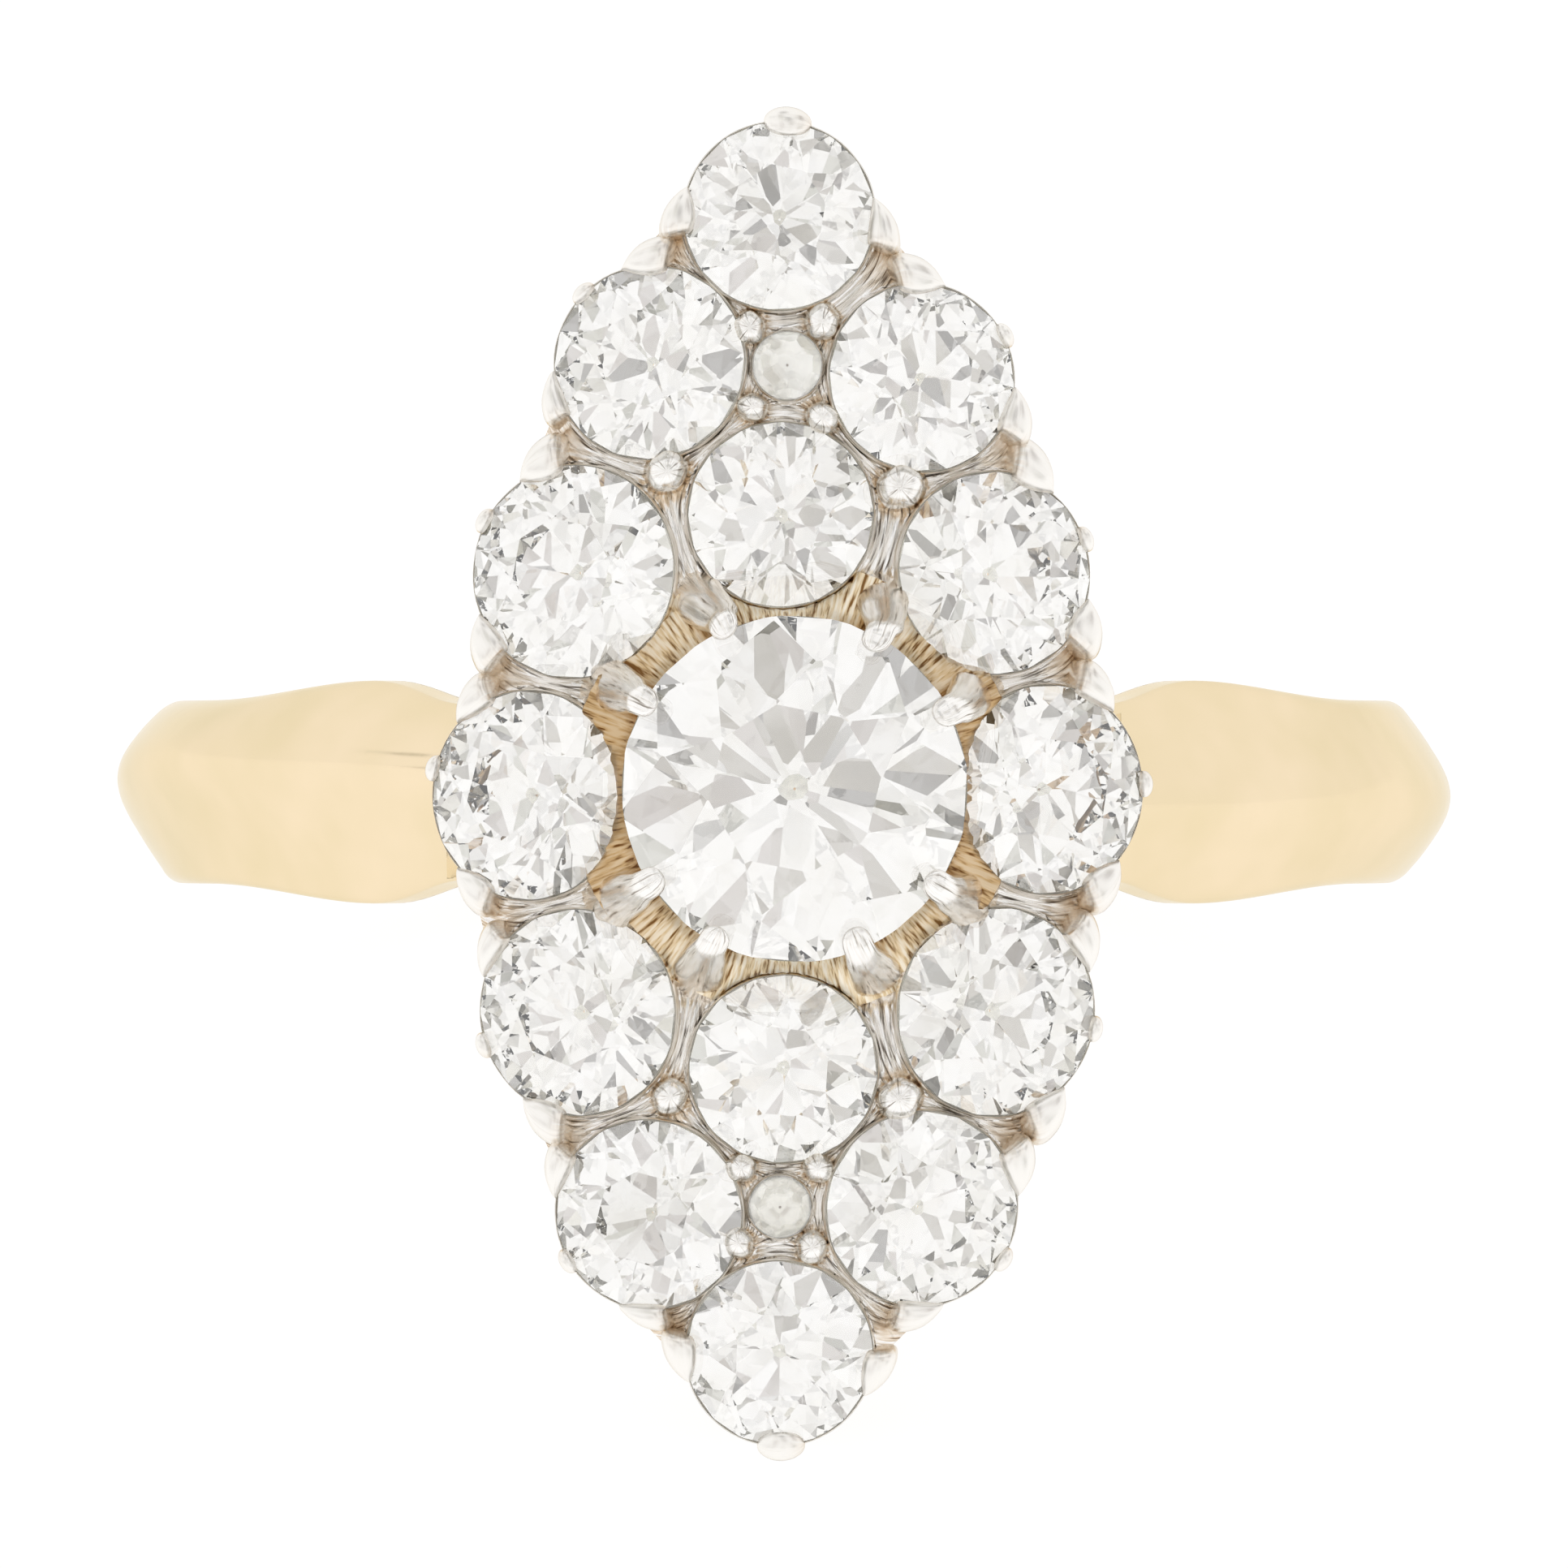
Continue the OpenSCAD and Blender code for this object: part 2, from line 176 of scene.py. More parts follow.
OUTER_CLAWS = [
    OuterClaw(1, 85, 1.02), OuterClaw(1, 179, 1.10), OuterClaw(1, 354, 1.13),
    OuterClaw(2, 91, 1.15), OuterClaw(2, 134, 1.03), OuterClaw(2, 201, 1.07),
    OuterClaw(3, 92, 1.17), OuterClaw(3, 27, 1.00), OuterClaw(3, 338, 1.15),
    OuterClaw(5, 107, 1.17), OuterClaw(5, 151, 1.03), OuterClaw(5, 218, 1.16),
    OuterClaw(6, 68, 1.22), OuterClaw(6, 20, 1.02), OuterClaw(6, 330, 1.17),
    OuterClaw(7, 121, 1.12), OuterClaw(7, 165, 1.06), OuterClaw(7, 239, 1.10),
    OuterClaw(8, 63, 1.16), OuterClaw(8, 3, 1.04), OuterClaw(8, 302, 1.15),
    OuterClaw(9, 145, 1.09), OuterClaw(9, 199, 1.02), OuterClaw(9, 252, 1.16),
    OuterClaw(10, 37, 1.17), OuterClaw(10, 350, 1.02), OuterClaw(10, 298, 1.20),
    OuterClaw(12, 154, 1.10), OuterClaw(12, 210, 1.02), OuterClaw(12, 268, 1.06),
    OuterClaw(13, 23, 1.16), OuterClaw(13, 328, 1.02), OuterClaw(13, 267, 1.12),
    OuterClaw(14, 181, 1.10), OuterClaw(14, 350, 1.09), OuterClaw(14, 271, 1.03),
]

CENTRE_CLAWS = [
    CentreClaw(-1.50, 3.10, -0.90, 2.50), CentreClaw(1.45, 3.15, 1.40, 2.31),
    CentreClaw(-2.85, 1.72, -2.10, 1.36), CentreClaw(3.00, 1.75, 2.45, 1.20),
    CentreClaw(-2.80, -1.78, -2.00, -1.35), CentreClaw(3.00, -1.72, 2.30, -1.40),
    CentreClaw(-1.38, -2.95, -1.05, -2.22), CentreClaw(1.55, -2.95, 1.10, -2.25),
]

BEADS = [
    Bead(-1.77, 4.85, 0.28), Bead(1.76, 4.61, 0.31), Bead(-0.48, 5.82, 0.20), Bead(0.58, 5.66, 0.22),
    Bead(-0.52, 7.03, 0.22), Bead(0.58, 7.12, 0.24), Bead(-1.72, -4.61, 0.24), Bead(1.74, -4.64, 0.29),
    Bead(-0.65, -5.69, 0.20), Bead(0.52, -5.69, 0.20), Bead(-0.69, -6.82, 0.21), Bead(0.42, -6.89, 0.22),
]


def dome_z(x: float, y: float) -> float:
    """Height of the outer stones' girdles over a place on the head."""
    return GIRDLE_Z - x * x / (2 * DOME_ACROSS_R) - y * y / (2 * DOME_ALONG_R)


def mix(a: float, b: float, share: float) -> float:
    """Value at a share of the way from a to b."""
    return a + (b - a) * share


def ease(share: float) -> float:
    """A soft step from 0 to 1, held at both ends."""
    t = min(1.0, max(0.0, share))
    return t * t * (3 - 2 * t)


def way_at(turn: float) -> Vector:
    """Unit vector at an angle from X towards Y."""
    return Vector((math.cos(turn), math.sin(turn), 0))


def lookup(at: float, table: Sequence[tuple[float, float]]) -> float:
    """Looks a place up in a table, with straight lines between its rows.

    Args:
        at: The place.
        table: Rising places, each with its value.

    Returns:
        The value there, held at both ends.
    """
    if at <= table[0][0]:
        return table[0][1]
    for (a, va), (b, vb) in zip(table, table[1:]):
        if at <= b:
            return mix(va, vb, (at - a) / (b - a))
    return table[-1][1]


def through(points: Sequence[Vector], steps: int) -> list[Vector]:
    """Points on a smooth curve through all given points.

    Args:
        points: Knots of the curve, of any size of vector.
        steps: Pieces between two knots.

    Returns:
        The curve's points, both ends included.
    """
    out = []
    last = len(points) - 1
    for i in range(last):
        p0, p1, p2, p3 = points[max(i - 1, 0)], points[i], points[i + 1], points[min(i + 2, last)]
        for k in range(steps):
            t = k / steps
            out.append(
                0.5
                * (
                    2 * p1
                    + (p2 - p0) * t
                    + (2 * p0 - 5 * p1 + 4 * p2 - p3) * t * t
                    + (3 * p1 - p0 - 3 * p2 + p3) * t * t * t
                )
            )
    out.append(points[-1].copy())
    return out


def linear(hex_code: str) -> tuple[float, float, float, float]:
    """Turns a colour from sRGB to linear.

    Args:
        hex_code: An sRGB hex value such as F3E0BC.

    Returns:
        The linear colour with full alpha.
    """
    parts = [int(hex_code[i : i + 2], 16) / 255 for i in (0, 2, 4)]
    light = [c / 12.92 if c <= 0.04045 else ((c + 0.055) / 1.055) ** 2.4 for c in parts]
    return (light[0], light[1], light[2], 1.0)


def add_node(
    tree: bpy.types.NodeTree,
    kind: str,
    settings: dict[str, object] | None = None,
    inputs: dict[str | int, object] | None = None,
) -> bpy.types.Node:
    """Adds one node with its settings, and fills or links its inputs.

    Args:
        tree: The node tree that takes the node.
        kind: Blender's node type.
        settings: Values of the node's own properties.
        inputs: Values of its sockets, or the output sockets that are linked to them.

    Returns:
        The new node.
    """
    node = tree.nodes.new(kind)
    for name, value in (settings or {}).items():
        setattr(node, name, value)
    for name, value in (inputs or {}).items():
        if isinstance(value, bpy.types.NodeSocket):
            tree.links.new(value, node.inputs[name])
        else:
            node.inputs[name].default_value = value
    return node


def fresh_material(name: str) -> tuple[bpy.types.Material, bpy.types.NodeTree, bpy.types.Node]:
    """A new material with its node tree and its Principled shader.

    Args:
        name: Name of the real material.

    Returns:
        The material, its node tree and its Principled shader.
    """
    material = bpy.data.materials.new(name)
    material.use_nodes = True
    tree = material.node_tree
    return material, tree, tree.nodes["Principled BSDF"]


def colour_steps(
    tree: bpy.types.NodeTree, factor: bpy.types.NodeSocket, steps: Sequence[tuple[float, str]]
) -> bpy.types.NodeSocket:
    """A colour ramp.

    Args:
        tree: The node tree.
        factor: What runs along the ramp.
        steps: Places from 0 to 1 with their hex colours.

    Returns:
        The ramp's colour.
    """
    ramp = add_node(tree, "ShaderNodeValToRGB", inputs={"Fac": factor})
    elements = ramp.color_ramp.elements
    while len(elements) < len(steps):
        elements.new(1.0)
    for element, (place, code) in zip(elements, steps):
        element.position = place
        element.color = linear(code)
    return ramp.outputs["Color"]


@dataclass(frozen=True)
class PolishedGold:
    """18 carat yellow gold, cast, filed and polished by hand.

    It gives the eye a pale straw colour with soft, slightly wavy reflections and hairline wear.
    """

    name: str = "yellow_gold_polished"
    bright: str = "F6E2C0"
    deep: str = "EFDCB6"
    # Gold stays yellow where it is seen at a slant
    edge: str = "F4F1E6"
    roughness_low: float = 0.10
    roughness_high: float = 0.24
    # Hairlines of wear are about 0.05 mm apart and six times as long, and the polishing waves about 1.6 mm
    hairline_mm: float = 0.05
    hairline_length: float = 6.0
    wave_mm: float = 1.6
    wave_depth_mm: float = 0.05
    hairline_depth_mm: float = 0.004

    def make(self) -> bpy.types.Material:
        """Makes the gold's material.

        Returns:
            The material.
        """
        material, tree, shader = fresh_material(self.name)
        place = add_node(tree, "ShaderNodeTexCoord").outputs["Object"]
        waves = add_node(
            tree,
            "ShaderNodeTexNoise",
            inputs={"Vector": place, "Scale": 1 / (self.wave_mm * MM), "Detail": 2.0},
        ).outputs["Fac"]
        stretched = add_node(
            tree,
            "ShaderNodeMapping",
            inputs={
                "Vector": place, "Scale": (1.0, self.hairline_length, 1.0), "Rotation": (0.4, 0.3, 0.2),
            },
        ).outputs["Vector"]
        hairs = add_node(
            tree,
            "ShaderNodeTexNoise",
            inputs={
                "Vector": stretched,
                "Scale": 1 / (self.hairline_mm * self.hairline_length * MM),
                "Detail": 3.0,
            },
        ).outputs["Fac"]
        tree.links.new(
            colour_steps(tree, waves, [(0.3, self.deep), (0.7, self.bright)]), shader.inputs["Base Color"]
        )
        rough = add_node(
            tree,
            "ShaderNodeMapRange",
            inputs={"Value": hairs, "To Min": self.roughness_low, "To Max": self.roughness_high},
        ).outputs["Result"]
        tree.links.new(rough, shader.inputs["Roughness"])
        soft = add_node(
            tree,
            "ShaderNodeBump",
            inputs={"Height": waves, "Strength": 0.25, "Distance": self.wave_depth_mm * MM},
        ).outputs["Normal"]
        fine = add_node(
            tree,
            "ShaderNodeBump",
            inputs={
                "Height": hairs, "Strength": 0.12, "Distance": self.hairline_depth_mm * MM, "Normal": soft,
            },
        ).outputs["Normal"]
        tree.links.new(fine, shader.inputs["Normal"])
        shader.inputs["Specular Tint"].default_value = linear(self.edge)
        shader.inputs["Metallic"].default_value = 1.0
        return material


@dataclass(frozen=True)
class FiledGold:
    """18 carat yellow gold inside the gallery, left from the file, with painted shade multiplied in where its
    warmth attribute is high.

    It gives the eye streaks of ochre and brown with a few bright lines.
    """

    name: str = "yellow_gold_filed"
    bright: str = "FFF6E4"
    middle: str = "EBD5AE"
    dark: str = "86623A"
    # Colour of the painted shade, multiplied in by the share in the warmth attribute
    painted_shade: str = "C8AE88"
    roughness: float = 0.36
    # File strokes are about 0.05 mm apart, a little coarser than a real needle file's so that they show
    stroke_mm: float = 0.05

    def make(self) -> bpy.types.Material:
        """Makes the filed gold's material.

        Returns:
            The material.
        """
        material, tree, shader = fresh_material(self.name)
        grain = add_node(tree, "ShaderNodeAttribute", {"attribute_name": "grain"}).outputs["Vector"]
        strokes = add_node(
            tree, "ShaderNodeTexNoise", inputs={"Vector": grain, "Scale": 1 / self.stroke_mm, "Detail": 3.0}
        ).outputs["Fac"]
        clean = colour_steps(tree, strokes, [(0.34, self.dark), (0.46, self.middle), (0.60, self.bright)])
        # On this gold the warmth attribute is the share of painted shade
        shade_share = add_node(tree, "ShaderNodeAttribute", {"attribute_name": "warmth"}).outputs["Fac"]
        colour = add_node(
            tree,
            "ShaderNodeMix",
            {"data_type": "RGBA", "blend_type": "MULTIPLY"},
            {"Factor": shade_share, "A": clean, "B": linear(self.painted_shade)},
        ).outputs[2]
        tree.links.new(colour, shader.inputs["Base Color"])
        bump = add_node(
            tree, "ShaderNodeBump", inputs={"Height": strokes, "Strength": 0.5, "Distance": 0.02 * MM}
        ).outputs["Normal"]
        tree.links.new(bump, shader.inputs["Normal"])
        shader.inputs["Metallic"].default_value = 1.0
        shader.inputs["Roughness"].default_value = self.roughness
        return material


@dataclass(frozen=True)
class CutPlatinum:
    """Platinum, cut with a graver and burnished, with old grime in its finest lines.

    It gives the eye an off-white, faintly pink metal with grey-brown lines, gold where the solder shows, and
    painted brown shade round the beads' feet.
    """

    name: str = "platinum_cut"
    light: str = "FEFCFA"
    shade: str = "EFECE7"
    grime: str = "746C65"
    gold: str = "E8CBA2"
    gold_dark: str = "9A7650"
    # The cut edges stay grey where they are seen at a slant
    edge: str = "F0ECE5"
    roughness: float = 0.24
    # Graver lines are about 0.07 mm apart
    line_mm: float = 0.07
    grime_share: float = 0.66
    relief: float = 0.5

    def make(self) -> bpy.types.Material:
        """Makes the platinum's material.

        Returns:
            The material.
        """
        material, tree, shader = fresh_material(self.name)
        grain = add_node(tree, "ShaderNodeAttribute", {"attribute_name": "grain"}).outputs["Vector"]
        warmth = add_node(tree, "ShaderNodeAttribute", {"attribute_name": "warmth"}).outputs["Fac"]
        lines = add_node(
            tree, "ShaderNodeTexNoise", inputs={"Vector": grain, "Scale": 1 / self.line_mm, "Detail": 3.0}
        ).outputs["Fac"]
        low = mix(0.2, 0.42, self.grime_share)
        white = colour_steps(
            tree, lines, [(low, self.grime), (low + 0.1, self.shade), (low + 0.22, self.light)]
        )
        yellow = colour_steps(tree, lines, [(0.3, self.gold_dark), (0.5, self.gold), (0.66, self.light)])
        colour = add_node(
            tree, "ShaderNodeMix", {"data_type": "RGBA"}, {"Factor": warmth, "A": white, "B": yellow}
        ).outputs[2]
        tree.links.new(colour, shader.inputs["Base Color"])
        bump = add_node(
            tree, "ShaderNodeBump", inputs={"Height": lines, "Strength": self.relief, "Distance": 0.02 * MM}
        ).outputs["Normal"]
        tree.links.new(bump, shader.inputs["Normal"])
        shader.inputs["Specular Tint"].default_value = linear(self.edge)
        shader.inputs["Metallic"].default_value = 1.0
        shader.inputs["Roughness"].default_value = self.roughness
        return material


@dataclass(frozen=True)
class OldDiamond:
    """Diamond, cut and polished by hand.

    It gives the eye clear white and grey flashes from facet to facet, with a trace of haze inside.
    """

    name: str = "diamond"
    clear: str = "FDFCFA"
    hazy: str = "F6F4EF"
    ior: float = 2.417
    roughness: float = 0.0
    transmission: float = 1.0
    # Clouds inside the stone are about 0.8 mm wide
    cloud_mm: float = 0.8

    def make(self) -> bpy.types.Material:
        """Makes the diamond's material.

        Returns:
            The material.
        """
        material, tree, shader = fresh_material(self.name)
        place = add_node(tree, "ShaderNodeTexCoord").outputs["Object"]
        clouds = add_node(
            tree, "ShaderNodeTexNoise", inputs={"Vector": place, "Scale": 1 / (self.cloud_mm * MM)}
        ).outputs["Fac"]
        tree.links.new(
            colour_steps(tree, clouds, [(0.35, self.hazy), (0.6, self.clear)]), shader.inputs["Base Color"]
        )
        shader.inputs["Transmission Weight"].default_value = self.transmission
        shader.inputs["Roughness"].default_value = self.roughness
        shader.inputs["IOR"].default_value = self.ior
        return material


@dataclass(frozen=True)
class OpalAcrylic:
    """Opal acrylic of the studio floor, lit from below. It gives the eye an even white with faint shadows."""

    name: str = "opal_acrylic"
    colour: str = "FAFAFA"
    glow: float = 0.95
    diffuse: float = 0.15

    def make(self) -> bpy.types.Material:
        """Makes the floor's material.

        Returns:
            The material.
        """
        material, tree, shader = fresh_material(self.name)
        shader.inputs["Base Color"].default_value = (self.diffuse, self.diffuse, self.diffuse, 1.0)
        shader.inputs["Roughness"].default_value = 0.9
        shader.inputs["Specular IOR Level"].default_value = 0.0
        shader.inputs["Emission Color"].default_value = linear(self.colour)
        shader.inputs["Emission Strength"].default_value = self.glow
        return material


class Shell:
    """Corners, faces, grain and warmth of one mesh, in the jeweller's frame.

    The grain is a place in millimetres along and across the tool's strokes, and the warmth is the share of
    gold that shows in the white metal. Round the beads' feet the warmth is painted brown shade, and on the
    moat wall it is the share of painted shade.
    """

    TUBE_SIDES: int = 24

    def __init__(self) -> None:
        """An empty shell."""
        self.corners: list[Vector] = []
        self.faces: list[tuple[int, ...]] = []
        self.grain: list[tuple[float, float, float]] = []
        self.warmth: list[float] = []

    def corner(
        self, place: Vector, grain: tuple[float, float, float] = (0.0, 0.0, 0.0), warmth: float = 0.0
    ) -> int:
        """Adds a corner.

        Args:
            place: The corner, in the jeweller's frame.
            grain: Its place along and across the strokes.
            warmth: Its share of gold; on the moat wall, its share of painted shade.

        Returns:
            The corner's number.
        """
        self.corners.append(place)
        self.grain.append(grain)
        self.warmth.append(warmth)
        return len(self.corners) - 1

    def grid(self, rows: list[list[int]], closed: bool = False, looped: bool = False) -> None:
        """Joins rows of corners with four-sided faces.

        Args:
            rows: Corner numbers, all rows of one length.
            closed: Whether each row runs back to its start.
            looped: Whether the last row joins the first.
        """
        pairs = list(zip(rows, rows[1:])) + ([(rows[-1], rows[0])] if looped else [])
        for low, high in pairs:
            count = len(low)
            for k in range(count if closed else count - 1):
                n = (k + 1) % count
                self.faces.append((low[k], low[n], high[n], high[k]))

    def cap(self, row: list[int]) -> None:
        """Closes a row of corners with one face."""
        self.faces.append(tuple(row))

    def loft(
        self,
        loops: Sequence[Sequence[Vector]],
        seed: float,
        warmth: Callable[[float], float] = lambda share: 0.0,
    ) -> None:
        """Stretches a skin over closed loops and caps both ends.

        Args:
            loops: Loops of corners, all of one count.
            seed: Shift of the grain, so that no two pieces have the same strokes.
            warmth: Share of gold at a share of the length; on the beads it is painted brown shade.
        """
        rows = []
        run = 0.0
        for i, loop in enumerate(loops):
            run += (loop[0] - loops[i - 1][0]).length if i else 0.0
            row = []
            for k, spot in enumerate(loop):
                turn = 2 * math.pi * k / len(loop)
                grain = (run * 0.12 + seed, math.cos(turn) * 0.35, math.sin(turn) * 0.35)
                row.append(self.corner(spot, grain, warmth(i / (len(loops) - 1))))
            rows.append(row)
        self.grid(rows, closed=True)
        self.cap(rows[0])
        self.cap(rows[-1])

    def tube(
        self,
        path: Sequence[Vector],
        radii: Sequence[tuple[float, float]],
        across: Vector,
        seed: float,
        warmth: Callable[[float], float] = lambda share: 0.0,
    ) -> None:
        """Sweeps a slightly uneven oval along a path.

        Args:
            path: Points of the path's middle.
            radii: Radius along the across direction and radius square to it, one pair for each point.
            across: Direction that the first radius follows.
            seed: Shift of the grain and of the unevenness.
            warmth: Share of gold at a share of the length.
        """
        loops = []
        for i, point in enumerate(path):
            ahead = (path[min(i + 1, len(path) - 1)] - path[max(i - 1, 0)]).normalized()
            side = (across - ahead * across.dot(ahead)).normalized()
            up = ahead.cross(side)
            loop = []
            for k in range(self.TUBE_SIDES):
                turn = 2 * math.pi * k / self.TUBE_SIDES
                away = side * (radii[i][0] * math.cos(turn)) + up * (radii[i][1] * math.sin(turn))
                wave = 0.07 * noise.noise((point + away) * 3 + Vector((seed, 0, 0)))
                loop.append(point + away * (1 + wave))
            loops.append(loop)
        self.loft(loops, seed, warmth)

    def object(
        self,
        name: str,
        material: bpy.types.Material,
        nodes: Sequence[str],
        crease_deg: float = 40,
    ) -> bpy.types.Object:
        """Makes the mesh object, in the row's frame, and hands it to the frame.

        Args:
            name: The piece's name.
            material: Its finish.
            nodes: CAD nodes that it stands for.
            crease_deg: Edges sharper than this stay sharp.

        Returns:
            The new object.
        """
        mesh = bpy.data.meshes.new(name)
        mesh.from_pydata([TO_ROW @ c for c in self.corners], [], self.faces)
        grain = mesh.attributes.new("grain", "FLOAT_VECTOR", "POINT")
        grain.data.foreach_set("vector", [v for g in self.grain for v in g])
        warmth = mesh.attributes.new("warmth", "FLOAT", "POINT")
        warmth.data.foreach_set("value", self.warmth)
        return hand_over(mesh, name, material, nodes, crease_deg)


def hand_over(
    mesh: bpy.types.Mesh,
    name: str,
    material: bpy.types.Material,
    nodes: Sequence[str],
    crease_deg: float,
) -> bpy.types.Object:
    """Makes an object of a finished mesh and lets it ride on the frame.

    Args:
        mesh: The mesh, in the row's frame.
        name: The piece's name.
        material: Its finish.
        nodes: CAD nodes that it stands for.
        crease_deg: Edges sharper than this stay sharp.

    Returns:
        The new object.
    """
    work = bmesh.new()
    work.from_mesh(mesh)
    bmesh.ops.recalc_face_normals(work, faces=work.faces)
    work.to_mesh(mesh)
    work.free()
    if crease_deg > 0:
        mesh.shade_smooth()
        mesh.set_sharp_from_angle(angle=math.radians(crease_deg))
    mesh.materials.append(material)
    made = bpy.data.objects.new(name, mesh)
    bpy.context.scene.collection.objects.link(made)
    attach(made, "root")
    if nodes:
        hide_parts(*nodes)
    LOG.info("%s: %d faces, finish %s", name, len(mesh.polygons), material.name)
    return made


@dataclass
class Band:
    """The knife-edge band with its widening shoulders, filed and polished by hand."""

    finish: PolishedGold = field(default_factory=PolishedGold)
    # Half width from the ridge, and drop below the ridge
    section: tuple[tuple[float, float], ...] = (
        (0.0, 0.0), (0.14, 0.0), (0.45, 0.12), (0.97, 0.46), (1.33, 0.76), (1.80, 1.11),
    )
    palm_w: float = 2.4
    side_w: float = 2.84
    shoulder_w: float = 3.42
    neck_w: float = 2.6
    shoulder_x: float = 6.75
    neck_x: float = 4.85
    side_x: float = 9.3
    end_x: float = 3.75
    edge_round: float = 0.17
    inner_round: float = 0.14
    plane_blur: float = 0.15
    # The hand-filed ridge wanders off the middle of both shoulders
    left_wander: float = 0.50
    right_wander: float = -0.16
    # Closer to the middle than this the band runs into the head: it is a little proud and its arrises sharper
    head_x: float = 6.2
    head_gain: float = 0.03
    head_round: float = 0.05
    # Waviness left by the file
    wave: float = 0.012
    turns: int = 260
    spots: int = 61

    def half_width(self, x: float, z: float) -> float:
        """Half of the band's width at a place round the finger.

        Args:
            x: The place across the hand.
            z: Its height over the finger's middle.

        Returns:
            Half of the width there.
        """
        x = abs(x)
        if z < 0:
            return mix(self.side_w, self.palm_w, -z / (RIDGE_R + 1)) / 2
        if x >= self.side_x:
            return self.side_w / 2
        if x >= self.shoulder_x:
            share = (x - self.shoulder_x) / (self.side_x - self.shoulder_x)
            return mix(self.shoulder_w, self.side_w, (1 - math.cos(math.pi * share)) / 2) / 2
        if x >= self.neck_x:
            share = (self.shoulder_x - x) / (self.shoulder_x - self.neck_x)
            return mix(self.shoulder_w, self.neck_w, (1 - math.cos(math.pi * share)) / 2) / 2
        return self.neck_w / 2

    def ridge_shift(self, turn: float) -> float:
        """How far the hand-filed ridge wanders from the band's middle.

        Args:
            turn: Angle from the face.

        Returns:
            The shift along the finger.
        """
        side = math.sin(turn)
        height = max(0.0, math.cos(turn) + 0.25)
        wander = self.left_wander if side < 0 else self.right_wander
        return wander * ease(height * 1.6) * ease(abs(side) * 1.5)

    def drop(self, from_ridge: float) -> float:
        """Drop of the top surface below the ridge, its planes blended as polishing does."""
        taps = [-1.0, -0.5, 0.0, 0.5, 1.0]
        return sum(lookup(abs(from_ridge + t * self.plane_blur), self.section) for t in taps) / len(taps)

    def profile(self, turn: float) -> list[Vector]:
        """Section of the band.

        Args:
            turn: Angle from the face.

        Returns:
            The section's corners, in the jeweller's frame.
        """
        across, out = math.sin(turn), math.cos(turn)
        near_head = ease(self.head_x - abs(RIDGE_R * across)) if out > 0 else 0.0
        gain = self.head_gain * near_head
        rounding = mix(self.edge_round, self.head_round, near_head)
        shift = self.ridge_shift(turn)
        half = self.half_width(RIDGE_R * across * 0.95, RIDGE_R * out) + gain
        points = []
        for k in range(self.spots):
            # Spots crowd towards the edges
            t = math.sin(math.pi * (k / (self.spots - 1) - 0.5))
            y = half * t
            from_ridge = y - shift * (1 - t * t)
            r = RIDGE_R - self.drop(from_ridge) + gain
            edge = half - abs(y)
            if edge < rounding:
                u = 1 - edge / rounding
                r -= rounding * (1 - math.sqrt(max(0.0, 1 - u * u)))
            points.append((r, y))
        low = FINGER_R
        high = points[-1][0]
        wall = [mix(low + self.inner_round, high, s) for s in (0.75, 0.5, 0.25, 0.0)]
        flank = [(r, half) for r in wall]
        for s in (0.25, 0.5, 0.75, 1.0):
            a = s * math.pi / 2
            flank.append(
                (low + self.inner_round * (1 - math.sin(a)), half - self.inner_round * (1 - math.cos(a)))
            )
        inside = [(low, (half - self.inner_round) * s) for s in (0.5, 0.0, -0.5)]
        points += flank + inside + [(r, -y) for r, y in reversed(flank)]
        corners = []
        for r, y in points:
            wave = noise.noise(Vector((turn * 3.1, y * 0.5, 7.0))) if r > low + 0.3 else 0.0
            r = min(RIDGE_R - 0.005, r + self.wave * wave - 0.004) if gain == 0 else r
            corners.append(Vector((r * across, y, r * out)))
        return corners

    def build(self) -> bpy.types.Object:
        """Builds the band.

        Returns:
            The band, open under the head.
        """
        shell = Shell()
        start = math.asin(self.end_x / RIDGE_R)
        rows = []
        for i in range(self.turns + 1):
            turn = start + (2 * math.pi - 2 * start) * i / self.turns
            rows.append([shell.corner(p) for p in self.profile(turn)])
        shell.grid(rows, closed=True)
        shell.cap(rows[0])
        shell.cap(rows[-1])
        return shell.object("band", self.finish.make(), ["gold_mount"], crease_deg=50)


